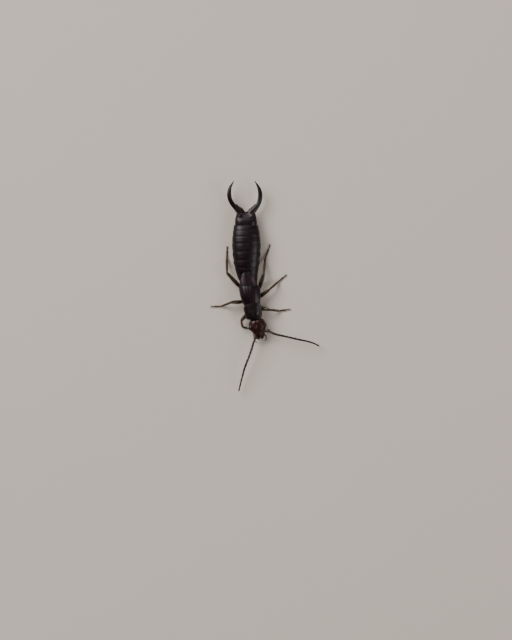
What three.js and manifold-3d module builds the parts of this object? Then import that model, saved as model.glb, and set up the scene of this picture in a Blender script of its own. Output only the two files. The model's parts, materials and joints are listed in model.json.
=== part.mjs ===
// A male earwig with open forceps, standing on its six feet: a still model at its size in life.
// Millimetres, +Z up. The head points to -Y and the forceps to +Y, and the floor is at Z = 0.

import * as THREE from 'three';
import { mergeVertices } from 'three/addons/utils/BufferGeometryUtils.js';
import Module from 'manifold-3d';

const wasm = await Module();
wasm.setup();

// Driving dimensions. While the body is built, Y = 0 is just behind the wing cases, the front is
// negative, and X = 0 is near the middle of the wing cases. The origin is set at the end.
const gap = 0.25;
const fineGap = 0.15;

// Head, in a frame of its own that is turned to the animal's left
const headPlace = [0.96, -4.9];
const headTurn = 13;
const headFront = -0.74;
const headBack = 1.05;
const eyeSize = [0.2, 0.31, 0.25];
const eyePlace = [0.85, 0.2, 1.42];
const mouthFront = -1.24;
const palpThickness = 0.26;

// Neck shield over the first ring of the thorax, turned a little less than the head
const shieldPlace = [0.38, -2.9];
const shieldTurn = 9;
const shieldLength = 1.86;

// Wing cases and the folded wing tips behind them
const caseFront = -1.86;
const caseBack = 0.12;
const caseEdge = 1.22;
const wingTipBack = 1.68;
const wingSlit = 0.2;

// Abdomen: seven plates that overlap like tiles, then the large last plate
const abdomenFront = 0.64;
const abdomenBack = 7.3;
const plateCount = 7;
const plateLift = 0.07;
const lastPlateFront = 7.62;
const lastPlateBack = 8.68;

// Forceps
const armThickness = 0.5;
const rootBreadth = 0.98;
const rootStart = 8.93;
const toothCount = 4;
const toothStep = 0.17;

// Antennae and legs
const antennaJoints = 14;
const antennaThickness = 0.5;
const hipThickness = 0.6;
const thighThickness = 0.58;
const shinThickness = 0.5;
const footThickness = 0.48;

// Materials
function finish(color, roughness) {
  return new THREE.MeshStandardMaterial({ color, roughness, metalness: 0 });
}
const shellBlack = finish(0x1d0d10, 0.28);
const shellBrown = finish(0x2e1713, 0.32);
const headRed = finish(0x4a1a10, 0.3);
const eyeBlack = finish(0x0a0707, 0.2);
const feelerBrown = finish(0x2b1c14, 0.5);
const legAmber = finish(0x6a4622, 0.4);
const wingTan = finish(0x5a3a24, 0.42);

// A geometry made into a solid that can be joined and cut
function solidOf(geometry) {
  geometry.deleteAttribute('normal');
  geometry.deleteAttribute('uv');
  const merged = mergeVertices(geometry, 1e-4);
  const vertProperties = new Float32Array(merged.getAttribute('position').array);
  const triVerts = new Uint32Array(merged.index.array);
  return new wasm.Manifold(new wasm.Mesh({ numProp: 3, vertProperties, triVerts }));
}

// A named sub-part: the largest closed surface of a solid
function part(name, solid, material) {
  const pieces = solid.decompose().sort((a, b) => b.volume() - a.volume());
  const { vertProperties, triVerts } = pieces[0].getMesh();
  const geometry = new THREE.BufferGeometry();
  geometry.setAttribute('position', new THREE.BufferAttribute(vertProperties, 3));
  geometry.setIndex(new THREE.BufferAttribute(triVerts, 1));
  geometry.computeVertexNormals();
  const mesh = new THREE.Mesh(geometry, material);
  mesh.name = name;
  return mesh;
}

// A solid without each of several others, and several solids in one
function without(solid, ...others) {
  return others.reduce((rest, other) => rest.subtract(other), solid);
}
function joined(solids) {
  return solids.reduce((sum, solid) => sum.add(solid));
}

// The frame of a piece that stands at a place on the floor, turned about the vertical
function standing([x, y], degrees) {
  return new THREE.Matrix4().makeRotationZ(THREE.MathUtils.degToRad(degrees)).setPosition(x, y, 0);
}

// A box from its lowest to its highest corner
function block(low, high, frame = new THREE.Matrix4()) {
  const size = high.map((value, axis) => value - low[axis]);
  const geometry = new THREE.BoxGeometry(...size);
  geometry.translate(...low.map((value, axis) => value + size[axis] / 2));
  geometry.applyMatrix4(frame);
  return solidOf(geometry);
}

// A ball or egg shape
function egg([x, y, z], size, { sides = 12, frame = new THREE.Matrix4() } = {}) {
  const geometry = new THREE.SphereGeometry(1, sides, Math.round(sides * 0.6));
  geometry.scale(...size);
  geometry.translate(x, y, z);
  geometry.applyMatrix4(frame);
  return solidOf(geometry);
}

// A closed skin drawn through rings; the first and last ring have no size
function skin(rings, sides, place, frame = new THREE.Matrix4()) {
  const geometry = new THREE.SphereGeometry(1, sides, rings.length - 1);
  const position = geometry.getAttribute('position');
  const point = new THREE.Vector3();
  rings.forEach((ring, row) => {
    for (let column = 0; column <= sides; column += 1) {
      const angle = ((column % sides) / sides) * 2 * Math.PI;
      place(ring, Math.cos(angle), Math.sin(angle), point);
      point.applyMatrix4(frame);
      position.setXYZ(row * (sides + 1) + column, point.x, point.y, point.z);
    }
  });
  return solidOf(geometry);
}

// The rings of a round cap, from its pole towards the full section
function capRings(pole, length, steps) {
  return Array.from({ length: steps }, (_, step) => {
    const turn = ((step / steps) * Math.PI) / 2;
    return { at: pole + length * (1 - Math.cos(turn)), swell: Math.sin(turn) };
  });
}

// Rings from one place to another, with a round cap at each end
function ringsBetween(from, to, [capFrom, capTo], count, steps) {
  const middle = Array.from({ length: count + 1 }, (_, step) => {
    return { at: THREE.MathUtils.lerp(from + capFrom, to - capTo, step / count), swell: 1 };
  });
  return [...capRings(from, capFrom, steps), ...middle, ...capRings(to, -capTo, steps).reverse()];
}

// Smooth values through a few stations, each [place, ...values]
function through(stations) {
  const places = stations.map((station) => station[0]);
  const values = stations.flatMap((station) => station.slice(1));
  const curve = new THREE.CubicInterpolant(places, values, stations[0].length - 1);
  return (at) => curve.evaluate(THREE.MathUtils.clamp(at, places[0], places[places.length - 1]));
}

// One coordinate of a superellipse: a power of 1 gives an ellipse, less is squarer
function rounded(value, power) {
  return Math.sign(value) * Math.abs(value) ** power;
}

// A length of body through stations [y, middle x, half width, underside z, back z]
function trunk(stations, { caps, count, rings, sides, power = 0.85, grow = 0, frame }) {
  const profile = through(stations);
  const from = stations[0][0] - grow;
  const to = stations[stations.length - 1][0] + grow;
  const place = (ring, across, up, point) => {
    const [middle, halfWidth, under, back] = profile(ring.at);
    const lift = grow + (ring.lift ?? 0);
    const width = (halfWidth + lift) * ring.swell;
    const height = ((back - under) / 2 + lift) * ring.swell;
    point.x = middle + width * rounded(across, power);
    point.y = ring.at;
    point.z = (back + under) / 2 + height * rounded(up, power);
  };
  return skin(rings ?? ringsBetween(from, to, caps, count, 4), sides, place, frame);
}

// A limb along a curve; girth(share) gives its half width and half height at a share of the way
function limb(curve, girth, { sides = 8, count = 6, rings } = {}) {
  const length = curve.getLength();
  const caps = [girth(0)[1] / length, girth(1)[1] / length];
  const upward = new THREE.Vector3(0, 0, 1);
  const place = (ring, across, up, point) => {
    const share = THREE.MathUtils.clamp(ring.at, 0, 1);
    const along = curve.getTangentAt(share);
    const side = new THREE.Vector3().crossVectors(along, upward).normalize();
    const over = new THREE.Vector3().crossVectors(side, along);
    const [wide, high] = girth(share);
    point.copy(curve.getPointAt(share));
    point.addScaledVector(along, (ring.at - share) * length);
    point.addScaledVector(side, wide * ring.swell * across);
    point.addScaledVector(over, high * ring.swell * up);
  };
  return skin(rings ?? ringsBetween(-caps[0], 1 + caps[1], caps, count, 3), sides, place);
}

// A smooth curve through several places, or a straight line between two
function route(places) {
  const points = places.map((place) => new THREE.Vector3(...place));
  if (points.length === 2) return new THREE.LineCurve3(...points);
  return new THREE.CatmullRomCurve3(points, false, 'centripetal');
}

// Round girth through stations [share, half thickness]
function roundGirth(stations) {
  const half = through(stations);
  return (share) => {
    const [value] = half(share);
    return [value, value];
  };
}

// Head capsule, eyes, and mouthparts with their palps
const headFrame = standing(headPlace, headTurn);
function headShell(grow = 0) {
  const stations = [
    [headFront, 0, 0.56, 0.78, 1.56],
    [-0.4, 0, 0.78, 0.68, 1.8],
    [0.1, 0, 0.97, 0.62, 1.92],
    [0.6, 0, 0.96, 0.66, 1.92],
    [headBack, 0, 0.74, 0.76, 1.82],
  ];
  return trunk(stations, { caps: [0.2, 0.18], count: 6, sides: 28, power: 0.9, grow, frame: headFrame });
}
function eye(side, grow = 0) {
  const [x, y, z] = eyePlace;
  return egg([side * x, y, z], eyeSize.map((size) => size + grow), { sides: 14, frame: headFrame });
}
function mouth() {
  const stations = [
    [mouthFront, 0, 0.3, 0.72, 1.16],
    [-0.95, 0, 0.42, 0.66, 1.34],
    [-0.5, 0, 0.46, 0.62, 1.4],
  ];
  const jaws = trunk(stations, { caps: [0.12, 0.1], count: 3, sides: 18, frame: headFrame });
  const half = palpThickness / 2;
  const palps = [-1, 1].map((side) => {
    const places = [[0.26, -0.96, 0.8], [0.46, -1.16, 0.72], [0.48, -1.44, 0.66]];
    const points = places.map(([x, y, z]) => new THREE.Vector3(side * x, y, z).applyMatrix4(headFrame));
    return limb(new THREE.CatmullRomCurve3(points), () => [half, half], { sides: 6, count: 3 });
  });
  return joined([jaws, ...palps]);
}

// Neck shield, and the first ring of the thorax under it
const shieldFrame = standing(shieldPlace, shieldTurn);
const halfShield = shieldLength / 2;
function neckShield(grow = 0) {
  const stations = [
    [-halfShield, 0, 0.84, 1.62, 2.1],
    [-0.3 * halfShield, 0, 0.98, 1.66, 2.3],
    [0.5 * halfShield, 0, 1.04, 1.7, 2.36],
    [halfShield, 0, 0.86, 1.74, 2.34],
  ];
  return trunk(stations, { caps: [0.2, 0.36], count: 4, sides: 24, power: 0.7, grow, frame: shieldFrame });
}
function neckRing(grow = 0) {
  const stations = [
    [-0.92 * halfShield, 0, 0.62, 0.78, 1.44],
    [0, 0, 0.82, 0.6, 1.44],
    [0.88 * halfShield, 0, 0.9, 0.56, 1.44],
  ];
  return trunk(stations, { caps: [0.12, 0.1], count: 3, sides: 20, power: 0.7, grow, frame: shieldFrame });
}

// Thorax, the wing cases over it, and the folded wing tips that show behind them
const slitFrame = standing([-0.1, 0], 8);
function thorax(grow = 0) {
  const stations = [
    [caseFront, 0.16, 0.92, 0.56, 2.0],
    [-0.9, 0.05, 1.04, 0.5, 2.1],
    [0.4, -0.14, 1.04, 0.52, 2.0],
  ];
  return trunk(stations, { caps: [0.12, 0.1], count: 4, sides: 24, grow });
}
function wingCases(grow = 0) {
  const stations = [
    [caseFront, 0.16, 1.0, 0.9, 2.28],
    [-1.2, 0.06, 1.18, 0.8, 2.42],
    [-0.4, -0.02, 1.25, 0.78, 2.44],
    [caseBack, -0.08, 1.25, 0.8, 2.38],
  ];
  const hollowStations = [
    [-1.5, 0.1, 0.72 - grow, 0, 1.8 - grow],
    [caseBack + 1, -0.24, 0.72 - grow, 0, 1.9 - grow],
  ];
  const outer = trunk(stations, { caps: [0.3, 0.06], count: 5, sides: 28, power: 0.8, grow });
  const hollow = trunk(hollowStations, { caps: [0.2, 0.1], count: 2, sides: 20, power: 0.7 });
  return without(outer, hollow, block([-5, -5, -1], [5, 5, caseEdge - grow]));
}
function wingTips(grow = 0) {
  const stations = [
    [caseBack + gap, -0.16, 1.04, 1.64, 2.24],
    [0.9, -0.24, 0.96, 1.66, 2.26],
    [1.35, -0.3, 0.8, 1.72, 2.28],
    [wingTipBack, -0.34, 0.6, 1.78, 2.26],
  ];
  return trunk(stations, { caps: [0.06, 0.26], count: 4, sides: 24, power: 0.7, grow });
}
function halfOf(solid, side) {
  const reach = 6;
  const low = side > 0 ? wingSlit / 2 : -reach;
  const high = side > 0 ? reach : -wingSlit / 2;
  return solid.intersect(block([low, -reach, -1], [high, reach, reach], slitFrame));
}

// Abdomen: each plate swells towards its hind edge and steps down to the next one
function abdomen(grow = 0) {
  const stations = [
    [abdomenFront, -0.2, 1.0, 0.62, 1.96],
    [1.5, -0.34, 1.22, 0.5, 2.2],
    [2.6, -0.4, 1.44, 0.44, 2.32],
    [4.8, -0.42, 1.66, 0.42, 2.42],
    [6.2, -0.44, 1.58, 0.48, 2.36],
    [abdomenBack, -0.47, 1.4, 0.62, 2.18],
  ];
  const capLength = 0.16;
  const first = abdomenFront - grow + capLength;
  const plateLength = (abdomenBack - first) / plateCount;
  const rings = capRings(abdomenFront - grow, capLength, 4);
  for (let plate = 0; plate < plateCount; plate += 1) {
    const start = first + plate * plateLength;
    rings.push({ at: start, swell: 1, lift: 0 });
    rings.push({ at: start + 0.5 * plateLength, swell: 1, lift: 0.6 * plateLift });
    rings.push({ at: start + 0.93 * plateLength, swell: 1, lift: plateLift });
  }
  rings.push({ at: abdomenBack + grow, swell: 1, lift: 0 });
  rings.push({ at: abdomenBack + grow + 0.06, swell: 0.9, lift: 0 });
  rings.push({ at: abdomenBack + grow + 0.08, swell: 0, lift: 0 });
  return trunk(stations, { rings, sides: 28, grow });
}
function lastPlate() {
  const stations = [
    [lastPlateFront, -0.48, 1.3, 0.7, 2.14],
    [8.0, -0.48, 1.32, 0.74, 2.12],
    [lastPlateBack, -0.47, 1.16, 0.86, 1.9],
  ];
  const plate = trunk(stations, { caps: [0.05, 0.2], count: 4, sides: 26, power: 0.75 });
  const tailPlate = egg([-0.46, lastPlateBack + 0.02, 1.36], [0.22, 0.26, 0.2]);
  return plate.add(tailPlate);
}

// Forceps: a broad root with teeth along its inner edge, and a bowed arm drawn out to a point
const armRoutes = {
  left: [
    [0.12, 8.9, 1.3], [0.5, 9.2, 1.32], [0.94, 9.74, 1.34], [1.18, 10.38, 1.36],
    [1.23, 11.04, 1.4], [1.08, 11.74, 1.44], [0.62, 12.58, 1.48],
  ],
  right: [
    [-1.04, 8.9, 1.3], [-1.44, 9.18, 1.32], [-1.98, 9.74, 1.34], [-2.36, 10.38, 1.36],
    [-2.49, 11.1, 1.4], [-2.36, 11.86, 1.44], [-1.96, 12.6, 1.48],
  ],
};
function forcepsArm(side) {
  const inward = side === 'left' ? -1 : 1;
  const half = armThickness / 2;
  const girth = through([
    [0, 0.4, 0.3],
    [0.12, 0.38, 0.28],
    [0.28, half, half],
    [0.8, half, half],
    [1, 0.09, 0.1],
  ]);
  const arm = limb(route(armRoutes[side]), girth, { sides: 10, count: 18 });
  const rootX = armRoutes[side][0][0];
  const rootStations = [
    [rootStart - 0.3, rootX + inward * 0.06, rootBreadth / 2, 1.04, 1.56],
    [9.0, rootX - inward * 0.06, rootBreadth / 2, 1.06, 1.58],
    [9.5, rootX - inward * 0.34, rootBreadth / 2 - 0.08, 1.1, 1.56],
  ];
  const root = trunk(rootStations, { caps: [0.1, 0.16], count: 3, sides: 14 });
  const teeth = Array.from({ length: toothCount }, (_, tooth) => {
    const x = rootX + inward * (0.36 - 0.1 * tooth);
    return egg([x, rootStart + 0.05 + tooth * toothStep, 1.32], [0.13, 0.09, 0.12], { sides: 8 });
  });
  return without(joined([arm, root, ...teeth]), block([-5, 0, -1], [5, rootStart - 0.13, 5]));
}

// Antennae: beaded joints from the socket to the tip
const antennaRoutes = {
  left: [
    [1.5, -5.18, 1.36], [2.06, -5.22, 1.56], [2.76, -5.54, 1.7], [3.3, -5.72, 1.72],
    [4.4, -5.96, 1.66], [5.5, -6.22, 1.54], [6.8, -6.5, 1.32], [7.6, -6.74, 1.14],
    [8.3, -7.1, 0.92],
  ],
  right: [
    [0.64, -5.4, 1.42], [0.64, -6.04, 1.66], [0.38, -6.78, 1.76], [0.17, -7.54, 1.72],
    [-0.24, -8.66, 1.62], [-0.66, -9.78, 1.44], [-0.92, -10.76, 1.24], [-1.15, -11.66, 1.06],
    [-1.34, -12.5, 0.9],
  ],
};
function antenna(side, grow = 0) {
  const half = antennaThickness / 2 + grow;
  const rings = [{ at: 0, swell: 0 }];
  for (let joint = 0; joint < antennaJoints; joint += 1) {
    rings.push({ at: (joint + 0.04) / antennaJoints, swell: 0.84 });
    rings.push({ at: (joint + 0.8) / antennaJoints, swell: 1.04 });
  }
  rings.push({ at: 1, swell: 0.7 });
  rings.push({ at: 1.01, swell: 0 });
  return limb(route(antennaRoutes[side]), roundGirth([[0, half], [0.75, half], [1, half / 2]]), { rings });
}

// Legs: places of the hip, the start of the thigh, the knee, the ankle and the end of the foot
const legRoutes = {
  front_left: [
    [0.75, -2.95, 0.82], [1.15, -2.5, 0.86], [2.3, -2.74, 1.5], [3.45, -2.86, 0.21], [4.84, -2.68, 0.15],
  ],
  middle_left: [
    [0.66, -1.62, 0.78], [1.1, -1.2, 0.82], [2.26, -0.38, 1.55], [3.36, 0.62, 0.21], [4.36, 1.45, 0.15],
  ],
  hind_left: [
    [0.7, -0.5, 0.78], [1.14, -0.1, 0.84], [1.64, 1.52, 1.5], [1.84, 3.5, 0.21], [2.42, 5.14, 0.15],
  ],
  front_right: [
    [0.06, -3.1, 0.82], [-0.4, -3.36, 0.86], [-1.04, -4.02, 1.4], [-0.9, -4.8, 0.21], [-0.04, -5.0, 0.15],
  ],
  middle_right: [
    [-0.5, -1.7, 0.78], [-0.98, -1.8, 0.82], [-2.24, -1.92, 1.55], [-3.42, -2.24, 0.21], [-4.7, -2.35, 0.15],
  ],
  hind_right: [
    [-0.78, -0.46, 0.78], [-1.2, 0.0, 0.84], [-2.74, 1.66, 1.5], [-2.8, 3.4, 0.21], [-2.74, 4.88, 0.15],
  ],
};
function leg([hip, thighStart, knee, ankle, footEnd]) {
  const hipHalf = hipThickness / 2;
  const thighHalf = thighThickness / 2;
  const shinHalf = shinThickness / 2;
  const footHalf = footThickness / 2;
  const thighGirth = roundGirth([[0, 0.25], [0.35, thighHalf], [0.7, thighHalf], [1, 0.25]]);
  const shinGirth = roundGirth([[0, 0.24], [0.4, shinHalf], [1, 0.22]]);
  const footGirth = roundGirth([[0, footHalf], [0.7, footHalf], [1, 0.16]]);
  return joined([
    limb(route([hip, thighStart]), () => [hipHalf, hipHalf], { count: 1 }),
    limb(route([thighStart, knee]), thighGirth, { count: 4 }),
    limb(route([knee, ankle]), shinGirth, { count: 3 }),
    limb(route([ankle, footEnd]), footGirth, { count: 3 }),
  ]);
}

// Each piece is cut clear of what it meets, and the feet are cut flat at the floor
const underFloor = block([-20, -20, -5], [20, 20, 0]);
const shieldCut = neckShield(gap);
const ringCut = neckRing(gap);
const caseCut = wingCases(gap);
const tipCut = wingTips(gap);
const thoraxCut = thorax(gap);
const headCut = headShell(gap);
const bodyCuts = [shieldCut, ringCut, thoraxCut, caseCut, tipCut, abdomen(gap), headCut];
const tipSolid = without(wingTips(), caseCut);

const earwig = new THREE.Group();
earwig.add(
  part('head', without(headShell(), shieldCut, ringCut, eye(1, fineGap), eye(-1, fineGap)), headRed),
  part('eye_left', eye(1), eyeBlack),
  part('eye_right', eye(-1), eyeBlack),
  part('mouthparts', without(mouth(), headShell(fineGap), antenna('right', fineGap)), headRed),
  part('pronotum', neckShield(), shellBrown),
  part('prothorax', without(neckRing(), shieldCut), shellBrown),
  part('thorax', without(thorax(), shieldCut, ringCut, caseCut, tipCut), shellBrown),
  part('tegmen_left', halfOf(without(wingCases(), shieldCut), 1), shellBrown),
  part('tegmen_right', halfOf(without(wingCases(), shieldCut), -1), shellBrown),
  part('wing_tip_left', halfOf(tipSolid, 1), wingTan),
  part('wing_tip_right', halfOf(tipSolid, -1), wingTan),
  part('abdomen', without(abdomen(), thoraxCut, caseCut, tipCut), shellBlack),
  part('last_tergite', lastPlate(), shellBlack),
);
for (const side of ['left', 'right']) {
  earwig.add(part(`antenna_${side}`, without(antenna(side), headCut), feelerBrown));
  earwig.add(part(`forceps_${side}`, forcepsArm(side), shellBlack));
}
for (const [name, places] of Object.entries(legRoutes)) {
  earwig.add(part(`leg_${name}`, without(leg(places), underFloor, ...bodyCuts), legAmber));
}

// The origin is on the floor, under the middle of the whole animal
const extent = new THREE.Box3().setFromObject(earwig, true);
const middle = extent.getCenter(new THREE.Vector3());
earwig.position.set(-middle.x, -middle.y, 0);

export default earwig;
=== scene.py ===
"""A male earwig with open forceps, standing on its six feet: a still model at its size in life.

The head points to -Y and the forceps to +Y, and the floor is at Z = 0. The tables are in
millimetres, and the settings in metres. A piece's mesh is in metres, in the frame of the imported
solids.
"""

import json
import math

import bpy
import numpy as np
from mathutils import Matrix, Vector

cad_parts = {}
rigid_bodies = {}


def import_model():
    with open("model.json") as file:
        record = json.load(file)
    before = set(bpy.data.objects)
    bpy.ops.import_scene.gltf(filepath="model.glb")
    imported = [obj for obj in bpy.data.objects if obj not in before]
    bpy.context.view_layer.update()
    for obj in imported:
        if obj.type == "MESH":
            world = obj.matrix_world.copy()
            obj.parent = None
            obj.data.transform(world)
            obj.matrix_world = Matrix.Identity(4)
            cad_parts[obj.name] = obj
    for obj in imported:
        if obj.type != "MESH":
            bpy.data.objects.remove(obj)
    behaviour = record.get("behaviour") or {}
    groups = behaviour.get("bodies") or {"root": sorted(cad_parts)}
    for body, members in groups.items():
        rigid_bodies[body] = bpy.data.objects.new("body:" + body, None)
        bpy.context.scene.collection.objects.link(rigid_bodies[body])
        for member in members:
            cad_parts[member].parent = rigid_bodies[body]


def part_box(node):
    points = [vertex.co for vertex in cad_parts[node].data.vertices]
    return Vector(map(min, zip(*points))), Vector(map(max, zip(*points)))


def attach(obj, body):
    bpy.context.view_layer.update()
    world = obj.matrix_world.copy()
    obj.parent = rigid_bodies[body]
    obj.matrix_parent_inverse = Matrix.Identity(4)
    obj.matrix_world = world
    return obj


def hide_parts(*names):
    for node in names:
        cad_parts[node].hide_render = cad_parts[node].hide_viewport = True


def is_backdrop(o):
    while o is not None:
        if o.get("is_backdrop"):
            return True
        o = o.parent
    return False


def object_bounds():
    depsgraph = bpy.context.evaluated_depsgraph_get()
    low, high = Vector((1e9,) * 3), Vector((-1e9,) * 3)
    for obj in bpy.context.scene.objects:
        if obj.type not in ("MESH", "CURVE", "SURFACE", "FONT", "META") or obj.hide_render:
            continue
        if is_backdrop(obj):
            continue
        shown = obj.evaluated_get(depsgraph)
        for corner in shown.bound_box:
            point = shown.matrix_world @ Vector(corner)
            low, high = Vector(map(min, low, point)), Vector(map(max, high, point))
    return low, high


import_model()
solid_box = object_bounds()

bl_info = {
    "name": "Earwig Model",
    "version": (1, 0, 0),
    "blender": (4, 5, 0),
    "location": "3D Viewport > Sidebar > Earwig",
    "description": "A male earwig on its feet, a still model at its size in life",
    "category": "Add Mesh",
}

MM = 0.001
UP = np.array((0.0, 0.0, 1.0))

# The animal's left is toward +X
HANDS = ((1, "left"), (-1, "right"))

# Places worked out between two given places of a route
SPAN_PLACES = 40

# The round ends of a plate are read no nearer to its tips than this share of its length, so that
# no face there shrinks to nothing
BLUNT = 0.0006

# Stations of a trunk go from front to back: y, middle x, half width, underside z and back z. Those
# of a plate seen from above are y, half width, z at its edges and z in its middle. Those of a limb
# are share of its length, half width and half height. A power below 1 makes a section squarer

# Head, in a frame of its own that is turned to the animal's left
HEAD_PLACE = (0.96, -4.9)
HEAD_TURN = 13
EYE_PLACE = (0.85, 0.2, 1.42)
EYE_SIZE = (0.23, 0.33, 0.27)
SOCKET_PLACE = (0.6, -0.52, 1.46)
SOCKET_BALL = (0.13, 0.13, 0.12)
HEAD_POWER = 0.9
HEAD = (
    (-0.8, 0, 0.52, 0.8, 1.52),
    (-0.4, 0, 0.78, 0.68, 1.8),
    (0.1, 0, 0.95, 0.62, 1.92),
    (0.6, 0, 0.96, 0.66, 1.92),
    (1.08, 0, 0.74, 0.76, 1.84),
)

# Forms of the head seen from above: the seam down the crown, the ends of its forks, the swellings
# of each side with their rise and width, and the dent across the front
CROWN_SEAM = ((0, 1.05), (0, 0.36))
FORK_END = (0.46, -0.16)
SWELLINGS = (((0.34, -0.08), 0.04, 0.26), ((0.42, 0.68), 0.035, 0.34))
FRONT_DENT = ((-0.3, -0.56), (0.3, -0.56))

# Mouthparts, in the head's frame
CLYPEUS = ((-0.98, 0.36, 1.28, 1.4), (-0.78, 0.42, 1.34, 1.5), (-0.6, 0.44, 1.38, 1.56))
CLYPEUS_SPAN = (-0.98, -0.6)
LIP = ((-1.26, 0.28, 1.02, 1.12), (-1.1, 0.34, 1.14, 1.28), (-0.94, 0.34, 1.22, 1.36))
LIP_SPAN = (-1.26, -0.92)
CHIN = ((-1.18, 0, 0.16, 0.66, 0.82), (-0.95, 0, 0.27, 0.6, 0.86), (-0.5, 0, 0.36, 0.6, 0.9))
JAW_ROUTE = ((0.44, -0.5, 1.06), (0.46, -0.84, 1.06), (0.34, -1.14, 1.06), (0.04, -1.36, 1.04))
MAXILLA_ROUTE = ((0.32, -0.5, 0.84), (0.36, -0.9, 0.82), (0.24, -1.24, 0.84))
MAXILLA = ((0, 0.16, 0.12), (0.5, 0.13, 0.1), (1, 0.05, 0.05))

# Feelers of the mouth: their places, the lengths of their joints and half their thickness by joint
PALPS = (
    (
        (
            (0.4, -0.66, 0.84), (0.58, -0.92, 0.78), (0.7, -1.2, 0.8), (0.66, -1.5, 0.7),
            (0.52, -1.74, 0.52),
        ),
        (2, 2, 3.6, 3.4, 3.4), ((0, 0.07), (2, 0.075), (4, 0.065), (5, 0.045)),
    ),
    (
        ((0.14, -1.0, 0.7), (0.26, -1.2, 0.64), (0.28, -1.44, 0.5)),
        (2, 3, 3.4), ((0, 0.05), (2, 0.055), (3, 0.035)),
    ),
)

# Neck shield, in a frame that is turned a little less than the head. The y of its stations is in
# shares of half its length
SHIELD_PLACE = (0.38, -2.9)
SHIELD_TURN = 9
SHIELD_LENGTH = 1.9
SHIELD = (
    (-1, 0.86, 1.76, 1.98), (-0.5, 0.98, 1.84, 2.2), (0.2, 1.05, 1.94, 2.32),
    (0.7, 1.06, 2.0, 2.34), (1, 1.02, 2.04, 2.34),
)
SHIELD_KNOB = (0.36, -0.42)

# Trunk from the neck to the last plate, the wings on it and the tail plate between the forceps
SOFT_FRONT = (
    (-4.25, 0.8, 0.54, 0.9, 1.5),
    (-3.95, 0.71, 0.68, 0.84, 1.62),
    (-3.7, 0.64, 0.74, 0.76, 1.8),
    (-3.2, 0.48, 0.8, 0.64, 1.98),
    (-2.5, 0.3, 0.86, 0.56, 2.06),
    (-1.9, 0.16, 0.93, 0.52, 2.1),
    (-1.0, 0.05, 1.0, 0.48, 2.14),
    (-0.2, -0.06, 1.0, 0.48, 2.06),
)
ABDOMEN = (
    (0.2, -0.14, 0.95, 0.56, 1.88),
    (0.64, -0.2, 1.0, 0.56, 1.86),
    (1.5, -0.34, 1.22, 0.5, 2.02),
    (2.6, -0.4, 1.44, 0.44, 2.28),
    (4.8, -0.42, 1.66, 0.42, 2.4),
    (6.2, -0.44, 1.58, 0.48, 2.34),
    (7.3, -0.47, 1.4, 0.62, 2.17),
)
TAIL_POWER = 0.75
TAIL = (
    (7.3, -0.47, 1.3, 0.7, 2.1),
    (8.0, -0.48, 1.32, 0.74, 2.12),
    (8.72, -0.47, 1.14, 0.88, 1.86),
)
WING_CASE = (
    (-2.25, 0.22, 0.9, 0.95, 2.14),
    (-1.86, 0.16, 1.03, 0.88, 2.28),
    (-1.2, 0.06, 1.19, 0.8, 2.41),
    (-0.4, -0.02, 1.25, 0.78, 2.43),
    (0.12, -0.08, 1.25, 0.8, 2.38),
)
WING_TIP = (
    (-0.4, -0.04, 1.12, 1.4, 2.2),
    (0.37, -0.16, 1.06, 1.5, 2.24),
    (0.9, -0.24, 0.98, 1.55, 2.25),
    (1.35, -0.3, 0.84, 1.62, 2.26),
    (1.72, -0.34, 0.7, 1.7, 2.24),
)
TAIL_PLATE = (
    (8.4, -0.46, 0.22, 1.18, 1.54), (8.76, -0.46, 0.18, 1.14, 1.5), (9.02, -0.46, 0.14, 1.12, 1.42),
)

# Plates below the wings: start, end and reach in degrees to each side of the underside's middle
# for a breast plate, start and end for a side plate, and the degrees of the side plates
BREAST_PLATES = ((-3.62, -2.42, 50), (-2.2, -1.16, 62), (-1.02, 0.32, 66))
SIDE_PLATES = (
    (-3.56, -2.9), (-2.95, -2.3), (-2.12, -1.6), (-1.64, -1.08), (-0.94, -0.36), (-0.4, 0.26),
)
SIDE_ANGLES = ((-40, 22), (158, 220))
UNDERSIDE = 270

# Wings: where they start and end, half their width and the degrees around the body of the left
# one's outer edge, and half the gap of the seam between them. A wing tip has two layers, each with
# its rise
WING_POWER = 0.8
WING_CASE_SPAN = (-2.25, 0.14)
WING_CASE_SIDES = (1.2, -24)
WING_TIP_LAYERS = ((0.0, (-0.35, 1.7)), (-0.07, (-0.35, 1.78)))
WING_TIP_SIDES = (1.0, 4)
SUTURE = 0.012

# Hind edges of the eight free plates of the abdomen, how far the front of each lies under the
# plate before it, and how far the belly plates are shifted against the back plates
PLATE_ENDS = (1.36, 2.2, 3.14, 4.16, 5.16, 6.02, 6.72, 7.34)
PLATE_TUCK = 0.22
BELLY_SHIFT = -0.12

# Gland folds at the sides of the third and fourth back plate: how far they rise, and where
GLAND_RISE = {2: 0.1, 3: 0.085}
GLAND_ANGLES = (16, 164)

# Where the plates start and end: degrees around the body, from its left side over its back, and y
# of the last plate and of the one under it
BACK_ANGLES = (-22, 202)
BELLY_ANGLES = (196, 344)
LAST_ANGLES = (-30, 210)
LAST_SPAN = (7.14, 8.74)
UNDER_LAST_ANGLES = (202, 338)
UNDER_LAST_SPAN = (6.95, 8.58)

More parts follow.
